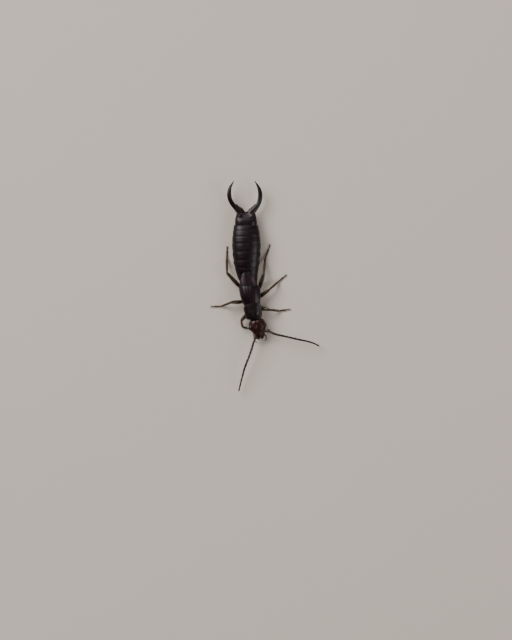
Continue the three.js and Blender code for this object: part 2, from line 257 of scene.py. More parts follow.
# Rows and columns of the grids, the thickness of the heavier plates, and the length of the round
# ends at front and back, which for a plate seen from above is in shares of its own length
GRIDS = {
    "head": (200, 380), "clypeus": (18, 36), "lip": (26, 40), "chin": (26, 32), "jaw": (36, 22),
    "shield": (90, 120), "skin": (240, 120), "breast": (30, 50), "side": (24, 30),
    "wing_case": (90, 80), "wing_tip": (60, 60), "back": (42, 136), "belly": (30, 90),
    "last": (70, 150), "under_last": (50, 90), "tail": (40, 40), "arm": (260, 36), "egg": (24, 28),
}
THICKNESS = {
    "clypeus": 0.07, "lip": 0.08, "shield": 0.08, "wing_case": 0.05, "wing_tip": 0.045,
    "last": 0.09, "under_last": 0.06,
}
CAPS = {
    "head": (0.26, 0.22), "clypeus": (0.12, 0.2), "lip": (0.55, 0.15), "chin": (0.16, 0.12),
    "shield": (0.06, 0.34), "skin": (0.2, 0.3), "tail": (0.1, 0.22),
}

# Forceps: places along the middle of each arm, and the share of its length that a tooth takes
TOOTH_LENGTH = 0.034
ARM_ROUTES = {
    "left": (
        (0.06, 8.5, 1.3), (0.14, 8.86, 1.3), (0.5, 9.22, 1.32), (0.94, 9.76, 1.34),
        (1.18, 10.38, 1.36), (1.23, 11.04, 1.4), (1.08, 11.76, 1.44), (0.56, 12.68, 1.48),
    ),
    "right": (
        (-0.98, 8.5, 1.3), (-1.06, 8.86, 1.3), (-1.44, 9.2, 1.32), (-1.98, 9.76, 1.34),
        (-2.36, 10.38, 1.36), (-2.49, 11.1, 1.4), (-2.36, 11.86, 1.44), (-1.9, 12.7, 1.48),
    ),
}

# Antennae: places from the socket to the tip, and the lengths of their joints. Each joint of a
# feeler is worked out at some places and has some rings
ANTENNA_ROUTES = {
    "left": (
        (2.06, -5.22, 1.56), (2.76, -5.54, 1.7), (3.3, -5.72, 1.72), (4.4, -5.96, 1.66),
        (5.5, -6.22, 1.54), (6.8, -6.5, 1.32), (7.6, -6.74, 1.14), (8.28, -7.08, 0.92),
    ),
    "right": (
        (0.62, -6.04, 1.66), (0.38, -6.78, 1.76), (0.17, -7.54, 1.72), (-0.24, -8.66, 1.62),
        (-0.66, -9.78, 1.44), (-0.92, -10.76, 1.24), (-1.15, -11.66, 1.06), (-1.34, -12.48, 0.9),
    ),
}
JOINT_LENGTHS = (8.2, 2.2, 5.0, 3.6, 4.2, 4.8, 5.4, 5.8, 6.2, 6.4, 6.6, 6.6, 6.4, 6.0)
JOINT_PLACES = 60
JOINT_RINGS = 16

# Legs: places of the hip, the start of the thigh, the knee, the ankle and the end of the foot
LEG_ROUTES = {
    "front_left": (
        (0.75, -2.95, 0.82), (1.15, -2.5, 0.86), (2.3, -2.74, 1.5), (3.45, -2.86, 0.21),
        (4.84, -2.68, 0.15),
    ),
    "middle_left": (
        (0.66, -1.62, 0.78), (1.1, -1.2, 0.82), (2.26, -0.38, 1.55), (3.36, 0.62, 0.21),
        (4.36, 1.45, 0.15),
    ),
    "hind_left": (
        (0.7, -0.5, 0.78), (1.14, -0.1, 0.84), (1.64, 1.52, 1.5), (1.84, 3.5, 0.21),
        (2.42, 5.14, 0.15),
    ),
    "front_right": (
        (0.06, -3.1, 0.82), (-0.4, -3.36, 0.86), (-1.04, -4.02, 1.4), (-0.9, -4.8, 0.21),
        (-0.04, -5.0, 0.15),
    ),
    "middle_right": (
        (-0.5, -1.7, 0.78), (-0.98, -1.8, 0.82), (-2.22, -1.85, 1.55), (-3.4, -2.3, 0.21),
        (-4.7, -2.36, 0.15),
    ),
    "hind_right": (
        (-0.78, -0.46, 0.78), (-1.2, 0.0, 0.84), (-2.74, 1.66, 1.5), (-2.8, 3.4, 0.21),
        (-2.74, 4.88, 0.15),
    ),
}

# Stations of a leg's parts. For the thigh, the shin and the three joints of the foot their widths
# and heights are in shares of half the part's thickness
HIP = ((0, 0.3, 0.3), (0.5, 0.29, 0.28), (1, 0.2, 0.2))
RING = ((0, 0.17, 0.17), (0.5, 0.19, 0.19), (1, 0.16, 0.16))
THIGH = (
    (0, 0.6, 0.6), (0.12, 0.8, 0.85), (0.4, 0.92, 1.05), (0.75, 0.76, 0.8), (0.93, 0.66, 0.72),
    (1, 0.6, 0.66),
)
SHIN = ((0, 0.66, 0.66), (0.1, 0.8, 0.86), (0.4, 0.96, 1.04), (0.85, 0.92, 0.98), (1, 0.86, 0.9))
FIRST_FOOT = ((0, 0.8, 0.8), (0.5, 0.95, 0.92), (1, 1.0, 0.9))
SECOND_FOOT = ((0, 0.7, 0.7), (0.6, 1.35, 0.7), (1, 1.1, 0.55))
LAST_FOOT = ((0, 0.55, 0.55), (0.6, 0.66, 0.66), (1, 0.76, 0.8))
CLAW = ((0, 0.036, 0.04), (0.5, 0.026, 0.03), (1, 0.006, 0.006))
KNEE_BALL = (0.128, 0.128, 0.128)
LEG_BOW = np.array((0, 0, 0.05))

# Where the joints of the foot end: share of the way from the ankle to the end of the foot, and
# height over the floor in shares of half the foot's thickness
FOOT_TURNS = ((0.46, 1.06), (0.6, 1.02), (0.92, 1.05))

# Hairs: the points of each, the least height of a point over the floor, the width of a hair's
# patch on the map for baking, and for each coat its pieces, density, length, lean and slot
HAIR_POINTS = 8
HAIR_CLEARANCE = 0.002
HAIR_PATCH = 0.003
COATS = (
    ("body_hairs", ("back_plates", "tail_plates", "belly_plates"), 1.0, 0.8, 2.6, "abdomen_shell"),
    ("head_hairs", ("head_shell", "jaws_and_lips"), 1.0, 0.9, 0.6, "head_shell"),
    (
        "thorax_hairs", ("neck_shield", "thorax_plates", "wing_case_left", "wing_case_right"),
        0.9, 0.7, 1.6, "thorax_shell",
    ),
    ("leg_hairs", tuple(f"jointed_leg_{name}" for name in LEG_ROUTES), 2.0, 0.8, 1.1, "leg"),
    ("forceps_hairs", ("forceps_arm_left", "forceps_arm_right"), 1.0, 0.9, 1.0, "forceps"),
    ("feeler_hairs", ("feeler_left", "feeler_right", "mouth_feelers"), 2.4, 0.4, 1.2, "antenna"),
)

# Shell finishes: the colours of dark blotches, light blotches, plate edges and toned places, each
# with a share of its light, and the values of the surface. Blotches, pits and grain are counted
# by the millimetre, and their depths are in millimetres
BLOTCH_CONTRAST = 2.0
GRAIN_SCALE = 26.0
SHINE = 0.22
REFRACTION = 1.54
SOFT_DEPTH = 0.3
SHELLS = {
    # The abdomen's lighter toned colour marks the paler belly and tail plates, and it also paints light:
    # a painted sheen streak down the back plates, and a painted reflection and painted highlights on the
    # last plate
    "black_horn": (
        ("abdomen", 0.55), ("abdomen", 1.35), ("plate_edge", 1), ("abdomen", 2.4),
        {"rough": (0.32, 0.46), "coat": 0.06, "pits": 11.0, "pit_depth": 0.003, "edge_share": 0.7},
    ),
    "mahogany_horn": (
        ("head", 0.6), ("head", 1.3), ("head", 2.0), ("head", 0.22),
        {"rough": (0.26, 0.4), "coat": 0.12, "pits": 7.0, "pit_depth": 0.002, "grain_depth": 0.0016},
    ),
    "brown_horn": (
        ("thorax", 0.6), ("thorax", 1.3), ("shield_edge", 1), ("shield_edge", 0.6),
        {"rough": (0.3, 0.46), "coat": 0.1, "pits": 8.0, "pit_depth": 0.002},
    ),
    "wing_leather": (
        ("wing_case", 0.65), ("wing_case", 1.3), ("wing_case", 2.2), None,
        {"scale": 1.2, "rough": (0.27, 0.4), "coat": 0.06, "coat_rough": 0.25, "pits": 14.0,
         "pit_depth": 0.003, "grain_depth": 0.003, "edge_share": 0.6},
    ),
    "wing_fold": (
        ("wing_tip", 0.7), ("wing_tip", 1.2), ("wing_tip", 0.4), ("wing_spot", 1),
        {"rough": (0.3, 0.44), "coat": 0.08, "coat_rough": 0.3, "pits": 16.0, "pit_depth": 0.003},
    ),
    "forceps_horn": (
        ("forceps", 0.6), ("forceps", 1.3), ("forceps", 0.5), ("forceps", 3.4),
        {"rough": (0.26, 0.38), "coat": 0.08, "pits": 9.0, "pit_depth": 0.002, "grain_depth": 0.0015},
    ),
    "amber_leg": (
        ("leg", 0.75), ("leg", 1.25), ("foot", 1), ("leg", 0.4),
        {"rough": (0.3, 0.42), "coat": 0.2, "coat_rough": 0.25, "pits": 18.0, "pit_depth": 0.0015,
         "grain_depth": 0.0015, "soft": 0.15},
    ),
    "feeler_horn": (
        ("antenna", 0.7), ("antenna", 1.3), ("antenna", 0.35), ("antenna_root", 1),
        {"rough": (0.4, 0.55), "coat": 0.1, "coat_rough": 0.3, "pits": 24.0, "pit_depth": 0.0015,
         "grain_depth": 0.0015, "edge_share": 0.0},
    ),
    "joint_skin": (
        ("skin", 0.7), ("skin", 1.3), ("skin", 0.6), None,
        {"rough": (0.42, 0.6), "coat": 0.1, "coat_rough": 0.35, "pits": 16.0, "pit_depth": 0.006,
         "grain_depth": 0.006},
    ),
    "facet_black": (
        ("eye", 0.7), ("eye", 1.5), ("eye", 1), None,
        {"rough": (0.16, 0.24), "coat": 0.3, "coat_rough": 0.08, "pits": 5.0, "pit_depth": 0.0,
         "grain_depth": 0.0},
    ),
    "hair_amber": (
        ("hair", 0.7), ("hair", 1.3), ("hair", 1), None,
        {"rough": (0.4, 0.5), "coat": 0.0, "pits": 5.0, "pit_depth": 0.0, "grain_depth": 0.0},
    ),
}

# Camera: the middle and the height of the frame, the length of the lens and the sensor's long
# side, and in metres the nearest and the farthest that it shows
FRAME_CENTRE = (0.72, -3.96)
FRAME_HEIGHT = 76.8
LENS = 150
SENSOR = 36
CLIP = (0.01, 5)

# Floor, in metres: radius of its level middle and of its rim, how far the rim rises, and how many
# rings and sides it has
FLOOR_LEVEL = 0.3
FLOOR_REACH = 0.62
FLOOR_RISE = 0.2
FLOOR_GRID = (40, 128)

# Lights: place and width in metres, and power in watts
LIGHTS = (
    ("window", (-0.25, 0.21, 0.33), 0.3, 3.0),
    ("fill", (0.32, -0.14, 0.32), 0.26, 0.9),
    ("back", (0.09, 0.62, 0.34), 0.4, 1.6),
)
SKY_COLOUR = (0.9, 0.92, 0.96, 1)
SKY_STRENGTH = 0.09


# Curves and surfaces

def standing(place, degrees):
    """The frame of a piece that stands at a place on the floor, turned about the vertical."""
    return Matrix.Translation((*place, 0)) @ Matrix.Rotation(math.radians(degrees), 4, "Z")


HEAD_FRAME = standing(HEAD_PLACE, HEAD_TURN)
SHIELD_FRAME = standing(SHIELD_PLACE, SHIELD_TURN)


def moved(points, matrix):
    """Points in a frame, given in the frame that it stands in."""
    turn = np.array(matrix.to_3x3())
    return np.asarray(points, float) @ turn.T + np.array(matrix.translation)


def solids_offset():
    """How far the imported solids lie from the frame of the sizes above, found from the eyes."""
    corners = [corner for node in ("eye_left", "eye_right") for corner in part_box(node)]
    middle = sum(corners, Vector()) / len(corners) / MM
    between_eyes = HEAD_FRAME @ Vector((0, EYE_PLACE[1], 0))
    return np.array((middle.x - between_eyes.x, middle.y - between_eyes.y, 0.0))


OFFSET = solids_offset()


def unit(vectors):
    """Vectors of length one along the last axis."""
    return vectors / np.maximum(np.linalg.norm(vectors, axis=-1, keepdims=True), 1e-12)


def ease(values, low, high):
    """0 below low, 1 above high and a smooth rise between them."""
    share = np.clip((np.asarray(values, float) - low) / (high - low), 0, 1)
    return share * share * (3 - 2 * share)


def hump(distance, width):
    """A round hump, 1 in its middle."""
    return np.exp(-np.square(np.asarray(distance, float) / width))


def smooth_through(stations):
    """A smooth curve of values through stations, each a place and its values."""
    table = np.array(stations, float)
    knots, values = table[:, 0], table[:, 1:]
    steps = np.diff(knots)
    rises = np.diff(values, axis=0) / steps[:, None]
    slopes = np.repeat(rises[:1], len(knots), axis=0)
    if len(knots) > 2:
        slopes[1:-1] = (values[2:] - values[:-2]) / (knots[2:] - knots[:-2])[:, None]
        slopes[0] = 1.5 * rises[0] - 0.5 * slopes[1]
        slopes[-1] = 1.5 * rises[-1] - 0.5 * slopes[-2]

    def evaluate(at):
        at = np.clip(np.asarray(at, float), knots[0], knots[-1])
        span = np.clip(np.searchsorted(knots, at, side="right") - 1, 0, len(knots) - 2)
        share = ((at - knots[span]) / steps[span])[..., None]
        step = steps[span][..., None]
        start = (1 + 2 * share) * (1 - share) ** 2 * values[span]
        start_slope = share * (1 - share) ** 2 * step * slopes[span]
        end = share ** 2 * (3 - 2 * share) * values[span + 1]
        end_slope = share ** 2 * (share - 1) * step * slopes[span + 1]
        return np.moveaxis(start + start_slope + end + end_slope, -1, 0)

    return evaluate


class Route:
    """A smooth curve through a few places, read by the share of its length."""

    def __init__(self, places):
        places = [np.array(place, float) for place in places]
        ends = [2 * places[0] - places[1], *places, 2 * places[-1] - places[-2]]
        shares = np.linspace(0, 1, SPAN_PLACES, endpoint=False)[:, None]
        spans = [self._span(*ends[i:i + 4], shares) for i in range(len(places) - 1)]
        self.points = np.vstack([*spans, places[-1]])
        steps = np.linalg.norm(np.diff(self.points, axis=0), axis=1)
        reach = np.concatenate([[0.0], np.cumsum(steps)])
        self.length = reach[-1]
        self.shares = reach / self.length

    @staticmethod
    def _span(before, start, end, after, share):
        """Points at shares of the way from start to end, on a curve that also heeds their neighbours."""
        gaps = [np.linalg.norm(b - a) ** 0.5 for a, b in ((before, start), (start, end), (end, after))]
        out = (start - before) / gaps[0] - (end - before) / (gaps[0] + gaps[1]) + (end - start) / gaps[1]
        into = (end - start) / gaps[1] - (after - start) / (gaps[1] + gaps[2]) + (after - end) / gaps[2]
        out, into = out * gaps[1], into * gaps[1]
        square, cube = share ** 2, share ** 3
        return (
            start + out * share + (3 * (end - start) - 2 * out - into) * square
            + (2 * (start - end) + out + into) * cube
        )

    def at(self, share):
        """Places at shares of the length."""
        return np.stack([np.interp(share, self.shares, self.points[:, axis]) for axis in range(3)], -1)

    def along(self, share):
        """Directions at shares of the length."""
        step = 0.01
        low, high = np.clip(share - step, 0, 1), np.clip(share + step, 0, 1)
        return unit(self.at(high) - self.at(low))


def between(start, end, share):
    """The place at a share of the way between two places."""
    return start + (end - start) * share


def spread(count, start=0.0, end=1.0):
    """Places from start to end, closer together near both ends."""
    even = np.linspace(0, 1, count)
    return start + (end - start) * (0.4 * even + 0.6 * (1 - np.cos(math.pi * even)) / 2)


def dome(share, start, end, power=2.0):
    """1 along a piece, falling to 0 in a round cap over a share of its length at each end."""
    front = 1 - np.clip(share / start, 0, 1)
    back = 1 - np.clip((1 - share) / end, 0, 1)
    return ((1 - front ** power) * (1 - back ** power)) ** (1 / power)


def rounded(values, power):
    """One coordinate of a superellipse: a power of 1 gives an ellipse, less is squarer."""
    return np.sign(values) * np.abs(values) ** power


def body_surface(stations, power=0.85):
    """Points around the body at (y, degrees, lift), counted from its left side over its back."""
    profile = smooth_through(stations)

    def surface(at, degrees, lift=0.0, swell=1.0):
        at, degrees, lift, swell = np.broadcast_arrays(at, degrees, lift, swell)
        middle, half, under, back = profile(at)
        angle = np.radians(degrees)
        across = (half + lift) * swell * rounded(np.cos(angle), power)
        height = ((back - under) / 2 + lift) * swell * rounded(np.sin(angle), power)
        return np.stack([middle + across, at, (back + under) / 2 + height], -1)

    return surface


def grid_normals(grid, closed):
    """Unit normals of a grid of points, outwards where its columns turn from +X over the top."""
    down = np.gradient(grid, axis=0)
    if closed:
        across = (np.roll(grid, -1, 1) - np.roll(grid, 1, 1)) / 2
    else:
        across = np.gradient(grid, axis=1)
    return unit(np.cross(down, across))


def closed_trunk(stations, name, power=0.85):
    """A closed length of body through stations, with round ends, as a grid of rings."""
    start, end = stations[0][0], stations[-1][0]
    rows, sides = GRIDS[name]
    share = spread(rows)[:, None]
    swell = dome(share, *(cap / (end - start) for cap in CAPS[name]))
    degrees = np.linspace(0, 360, sides, endpoint=False)[None, :]
    return body_surface(stations, power)(between(start, end, share), degrees, 0.0, swell)


def sweep(route, share, sizes, sides):
    """A grid of rings along a route; sizes are the reach to the right, left, top and bottom."""
    right, left, top, bottom = (np.broadcast_to(size, share.shape)[:, None] for size in sizes)
    along = route.along(share)
    side = unit(np.cross(along, UP))
    over = np.cross(side, along)
    angle = np.linspace(0, 2 * math.pi, sides, endpoint=False)[None, :]
    cosine, sine = np.cos(angle), np.sin(angle)
    wide = np.where(cosine > 0, right, left) * cosine
    high = np.where(sine > 0, top, bottom) * sine
    return route.at(share)[:, None] + side[:, None] * wide[..., None] + over[:, None] * high[..., None]


def limb(route, stations, rows=26, sides=20, caps=(0.1, 0.1)):
    """A round-ended limb through stations of share, half width and half height."""
    share = spread(rows)
    wide, high = smooth_through(stations)(share) * dome(share, *caps)
    return sweep(route, share, (wide, wide, high, high), sides)


def egg(centre, size):
    """An egg shape as a grid of rings."""
    rows, sides = GRIDS["egg"]
    polar = np.linspace(0, math.pi, rows)[:, None]
    angle = np.linspace(0, 2 * math.pi, sides, endpoint=False)[None, :]
    ring = np.stack(np.broadcast_arrays(
        np.sin(polar) * np.cos(angle), -np.cos(polar), np.sin(polar) * np.sin(angle)), -1)
    return ring * np.array(size) + np.array(centre)


def tongue(stations, span, name, power=2.2, roundness=2.0, cup=0.0):
    """The outer face of a curved plate seen from above, with round ends and its sides cupped up."""
    rows, columns = GRIDS[name]
    share = spread(rows)[:, None]
    at = between(*span, share)
    half, edge, crown = smooth_through(stations)(at)
    across = np.linspace(1, -1, columns)[None, :]
    swell = dome(np.clip(share, BLUNT, 1 - BLUNT), *CAPS[name], roundness)
    height = edge + (crown - edge) * (1 - np.abs(across * swell) ** power)
    height = height + cup * ease(np.abs(across), 0.78, 1.0) * ease(swell, 0.5, 1.0)
    return np.stack(np.broadcast_arrays(half * swell * across, at, height), -1)


def plate_over(surface, span, angles, name, lift, corner=0.0, corner_power=6, front_corner=0.0):
    """The outer face of a plate on the body, with its share along and across the body."""
    rows, columns = GRIDS[name]
    share = 1 - (1 - np.linspace(0, 1, rows)[:, None]) ** 1.25
    across = np.linspace(0, 1, columns)[None, :]
    side = np.abs(2 * across - 1) ** corner_power
    at = between(span[0] + front_corner * side, span[1] - corner * side, share)
    degrees = between(*angles, across)
    share, across = np.broadcast_arrays(share, across)
    return surface(at, degrees, lift(share, across)), share, across


# Pieces

def add_object(name, data):
    """An object in the scene."""
    item = bpy.data.objects.new(name, data)
    bpy.context.scene.collection.objects.link(item)
    return item


def read_numbers(data, field, width, kind=np.float32):
    """A field of each item of a mesh's data, as rows of numbers."""
    values = np.empty(len(data) * width, kind)
    data.foreach_get(field, values)
    return values.reshape(-1, width)


def write_mark(mesh, name, values):
    """A mark on a mesh: a number or a vector for each of its points."""
    kind, field = ("FLOAT", "value") if values.ndim == 1 else ("FLOAT_VECTOR", "vector")
    data = mesh.attributes.new(name, kind, "POINT").data
    data.foreach_set(field, values.astype(np.float32).ravel())


class Shape:
    """Closed surfaces gathered for one piece, with the marks that its finish and hairs read."""

    MARKS = {"edge": 1, "tone": 1, "hair": 1, "flow": 3, "lie": 3}
    TILES = 8

    def __init__(self):
        self.points = []
        self.faces = []
        self.marks = {name: [] for name in self.MARKS}
        self.size = 0
        self.surfaces = 0

    def _gather(self, points, blocks, marks):
        """Add one closed surface, with its faces turned outwards."""
        volume = 0.0
        for block in blocks:
            for corner in range(1, block.shape[1] - 1):
                a, b, c = (points[block[:, i]] for i in (0, corner, corner + 1))
                volume += np.einsum("ij,ij->", a, np.cross(b, c))
        for block in blocks:
            block = block if volume > 0 else block[:, ::-1]
            self.faces += (block + self.size).tolist()
        self.points.append(points)
        for name, width in self.MARKS.items():
            values = np.asarray(marks.get(name, 0.0), float)
            wanted = (len(points), width) if width > 1 else (len(points),)
            self.marks[name].append(np.broadcast_to(values, wanted))
        self.size += len(points)
        self.surfaces += 1

    def _spread(self, grid, marks):
        """The marks at each point of a grid, with its flow and its place on the piece's unwrapping."""
        rows, columns = grid.shape[:2]
        tile = np.array((self.surfaces % self.TILES, self.surfaces // self.TILES % self.TILES))
        across, down = np.meshgrid(np.linspace(0.04, 0.92, columns), np.linspace(0.04, 0.92, rows))
        lie = np.stack([(tile[0] + across) / self.TILES, (tile[1] + down) / self.TILES, 0 * down], -1)
        spread_marks = {}
        for name, values in {"flow": unit(np.gradient(grid, axis=0)), "lie": lie, **marks}.items():
            full = grid.shape if self.MARKS[name] == 3 else (rows, columns)
            spread_marks[name] = np.broadcast_to(np.asarray(values, float), full)
        return spread_marks

    def tube(self, grid, **marks):
        """A closed surface of rings, its first and last ring drawn together to a point."""
        rows, columns = grid.shape[:2]
        points = np.vstack([grid[0].mean(0), grid[-1].mean(0), grid[1:-1].reshape(-1, 3)])
        row = 2 + np.arange(rows - 3)[:, None] * columns
        column = np.arange(columns)[None, :]
        after = (column + 1) % columns
        quads = np.stack([row + column, row + columns + column, row + columns + after, row + after], -1)
        last = 2 + (rows - 3) * columns
        ring, beside = column[0], after[0]
        front = np.stack([0 * ring, 2 + ring, 2 + beside], -1)
        back = np.stack([0 * ring + 1, last + beside, last + ring], -1)
        kept = {}
        for name, values in self._spread(grid, marks).items():
            ends = np.stack([values[0].mean(0), values[-1].mean(0)])
            kept[name] = np.concatenate([ends, values[1:-1].reshape(-1, *values.shape[2:])])
        self._gather(points, [quads.reshape(-1, 4), front, back], kept)

    def plate(self, outer, thickness, outward=None, **marks):
        """A plate with a rounded rim, from the grid of its outer face and the way that this faces."""
        rows, columns = outer.shape[:2]
        thickness = np.broadcast_to(thickness, (rows, columns))[..., None]
        facing = grid_normals(outer, False) if outward is None else outward
        inner = outer - facing * thickness
        number = np.arange(rows * columns).reshape(rows, columns)
        row, column = np.clip(np.arange(rows), 1, rows - 2), np.clip(np.arange(columns), 1, columns - 2)
        inward = number[row][:, column].reshape(-1)
        loop = np.concatenate([number[0, :-1], number[:-1, -1], number[-1, :0:-1], number[:0:-1, 0]])
        flat, flat_inner = outer.reshape(-1, 3), inner.reshape(-1, 3)
        sideways = unit(flat[loop] - flat[inward[loop]])
        bulge = 0.45 * thickness.reshape(-1, 1)[loop]
        rim = (flat[loop] + flat_inner[loop]) / 2 + sideways * bulge
        total = rows * columns
        face = np.stack([number[:-1, :-1], number[1:, :-1], number[1:, 1:], number[:-1, 1:]], -1)
        face = face.reshape(-1, 4)
        after = np.roll(loop, -1)
        step = 2 * total + np.arange(len(loop))
        next_step = np.roll(step, -1)
        outer_strip = np.stack([loop, after, next_step, step], -1)
        inner_strip = np.stack([step, next_step, after + total, loop + total], -1)
        kept = {}
        for name, values in self._spread(outer, marks).items():
            values = values.reshape(-1, *values.shape[2:])
            inside = 0 * values if name == "hair" else values
            kept[name] = np.concatenate([values, inside, inside[loop]])
        points = np.vstack([flat, flat_inner, rim])
        self._gather(points, [face, (face + total)[:, ::-1], outer_strip, inner_strip], kept)

    def mesh(self, name):
        """The gathered surfaces as a mesh in metres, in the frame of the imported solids."""
        mesh = bpy.data.meshes.new(name)
        points = (np.vstack(self.points) + OFFSET) * MM
        mesh.from_pydata(points.tolist(), [], self.faces)
        mesh.polygons.foreach_set("use_smooth", np.ones(len(mesh.polygons), bool))
        for mark, values in self.marks.items():
            write_mark(mesh, mark, np.concatenate(values))
        return mesh


def make_piece(name, source, material, slot, *replaced):
    """A finished piece: its mesh, its material, the body that it rides on and what it stands for."""
    mesh = source.mesh(name) if isinstance(source, Shape) else source
    piece = add_object(name, mesh)
    mesh.materials.clear()
    mesh.materials.append(shell(material))
    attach(piece, "root")
    if replaced:
        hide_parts(*replaced)
    return piece


def joined_mesh(name, meshes):
    """Several meshes in one, with their marks."""
    pieces = [add_object(name, mesh) for mesh in meshes]
    with bpy.context.temp_override(active_object=pieces[0], selected_editable_objects=pieces):
        bpy.ops.object.join()
    mesh = pieces[0].data
    bpy.data.objects.remove(pieces[0])
    mesh.name = name
    return mesh


# Nodes

def add_node(tree, kind, inputs=(), **settings):
    """A node with its settings; an input is a value, a socket or a node, read at its first output."""
    node = tree.nodes.new(kind)
    for key, value in settings.items():
        setattr(node, key, value)
    for key, value in dict(inputs).items():
        if isinstance(value, bpy.types.Node):
            value = value.outputs[0]
        if isinstance(value, bpy.types.NodeSocket):
            tree.links.new(value, node.inputs[key])
        else:
            node.inputs[key].default_value = value
    return node


def new_tree(name, kind, inputs, output):
    """A node group with named sockets, each with its kind and default, and what it is given."""
    tree = bpy.data.node_groups.new(name, kind)
    for label, socket_kind, default in inputs:
        socket = tree.interface.new_socket(label, in_out="INPUT", socket_type=f"NodeSocket{socket_kind}")
        if default is not None:
            socket.default_value = default
    label, socket_kind = output
    tree.interface.new_socket(label, in_out="OUTPUT", socket_type=f"NodeSocket{socket_kind}")
    return tree, tree.nodes.new("NodeGroupInput").outputs


def end_tree(tree, geometry, material):
    """The end of a geometry tree: instances made real, the material set and the result put out."""
    real = add_node(tree, "GeometryNodeRealizeInstances", {"Geometry": geometry})
    painted = add_node(tree, "GeometryNodeSetMaterial", {
        "Geometry": real, "Material": material})
    add_node(tree, "NodeGroupOutput", {"Geometry": painted})
    return tree


def read_mark(tree, name, kind="FLOAT"):
    """A mark of the mesh or curve."""
    return add_node(tree, "GeometryNodeInputNamedAttribute", {"Name": name}, data_type=kind)


def store_mark(tree, geometry, name, value, kind="FLOAT"):
    """The geometry with a mark stored on it."""
    return add_node(tree, "GeometryNodeStoreNamedAttribute", {
        "Geometry": geometry, "Name": name, "Value": value}, data_type=kind)


def run_geometry(name, tree, source, **inputs):
    """The mesh that a geometry node group makes from a source mesh and its named inputs."""
    maker = add_object(name, source or bpy.data.meshes.new(name))
    modifier = maker.modifiers.new(name, "NODES")
    modifier.node_group = tree
    for item in tree.interface.items_tree:
        if item.item_type == "SOCKET" and item.in_out == "INPUT" and item.name in inputs:
            modifier[item.identifier] = inputs[item.name]
    graph = bpy.context.evaluated_depsgraph_get()
    mesh = bpy.data.meshes.new_from_object(
        maker.evaluated_get(graph), preserve_all_data_layers=True, depsgraph=graph)
    bpy.data.objects.remove(maker)
    mesh.name = name
    return mesh


def float_curve(tree, factor, points):
    """A curve node that runs smoothly through points."""
    node = add_node(tree, "ShaderNodeFloatCurve", {"Value": factor})
    curve = node.mapping.curves[0]
    curve.points[0].location = points[0]
    curve.points[1].location = points[-1]
    for place in points[1:-1]:
        curve.points.new(*place)
    for point in curve.points:
        point.handle_type = "AUTO_CLAMPED"
    node.mapping.update()
    return node


def maths(tree, operation, *values, **settings):
    """A Math node on numbers, sockets or nodes."""
    return add_node(tree, "ShaderNodeMath", enumerate(values), operation=operation, **settings)


def facet_tree():
    """A compound eye: an egg of six-sided facets, each raised to a small dome."""
    tree, given = new_tree("compound_eye", "GeometryNodeTree", (
        ("Detail", "Int", 5), ("Facet Rise", "Float", 0.02), ("Facet Top", "Float", 0.6),
        ("Place", "Vector", (0, 0, 0)), ("Turn", "Vector", (0, 0, 0)), ("Size", "Vector", (1, 1, 1)),
        ("Material", "Material", None)), ("Geometry", "Geometry"))
    ball = add_node(tree, "GeometryNodeMeshIcoSphere", {"Subdivisions": given["Detail"]})
    cells = add_node(tree, "GeometryNodeDualMesh", {"Mesh": ball})
    raised = add_node(tree, "GeometryNodeExtrudeMesh", {
        "Mesh": cells, "Offset Scale": given["Facet Rise"], "Individual": True})
    domes = add_node(tree, "GeometryNodeScaleElements", {
        "Geometry": raised, "Selection": raised.outputs["Top"],
        "Scale": given["Facet Top"]})
    placed = add_node(tree, "GeometryNodeTransform", {
        "Geometry": domes, "Translation": given["Place"],
        "Rotation": given["Turn"], "Scale": given["Size"]})
    smooth = add_node(tree, "GeometryNodeSetShadeSmooth", {"Geometry": placed})
    return end_tree(tree, smooth, given["Material"])


def feeler_tree():
    """A jointed feeler along a curve: each joint swells to its far end and is pinched at the next."""
    tree, given = new_tree("jointed_feeler", "GeometryNodeTree", (
        ("Geometry", "Geometry", None), ("Rings", "Int", 200), ("Sides", "Int", 18),
        ("Material", "Material", None)), ("Geometry", "Geometry"))
    curve = add_node(tree, "GeometryNodeMeshToCurve", {"Mesh": given["Geometry"]})
    rings = add_node(tree, "GeometryNodeResampleCurve", {
        "Curve": curve, "Count": given["Rings"]})
    phase = maths(tree, "FRACT", read_mark(tree, "joint"))
    bead = float_curve(tree, phase, (
        (0.0, 0.56), (0.05, 0.72), (0.2, 0.86), (0.55, 0.94), (0.85, 1.0), (0.95, 0.9), (1.0, 0.6)))
    round_line = add_node(tree, "GeometryNodeCurvePrimitiveCircle", {
        "Resolution": given["Sides"], "Radius": 1.0})
    turn = add_node(tree, "GeometryNodeSplineParameter")
    solid = add_node(tree, "GeometryNodeCurveToMesh", {
        "Curve": store_mark(tree, rings, "edge", phase),
        "Profile Curve": store_mark(tree, round_line, "around", turn),
        "Scale": maths(tree, "MULTIPLY", bead, read_mark(tree, "half")), "Fill Caps": True})
    lie = add_node(tree, "ShaderNodeCombineXYZ", {
        "X": read_mark(tree, "around"), "Y": read_mark(tree, "reach")})
    unwrapped = store_mark(tree, solid, "lie", lie, "FLOAT_VECTOR")
    smooth = add_node(tree, "GeometryNodeSetShadeSmooth", {"Geometry": unwrapped})
    return end_tree(tree, smooth, given["Material"])


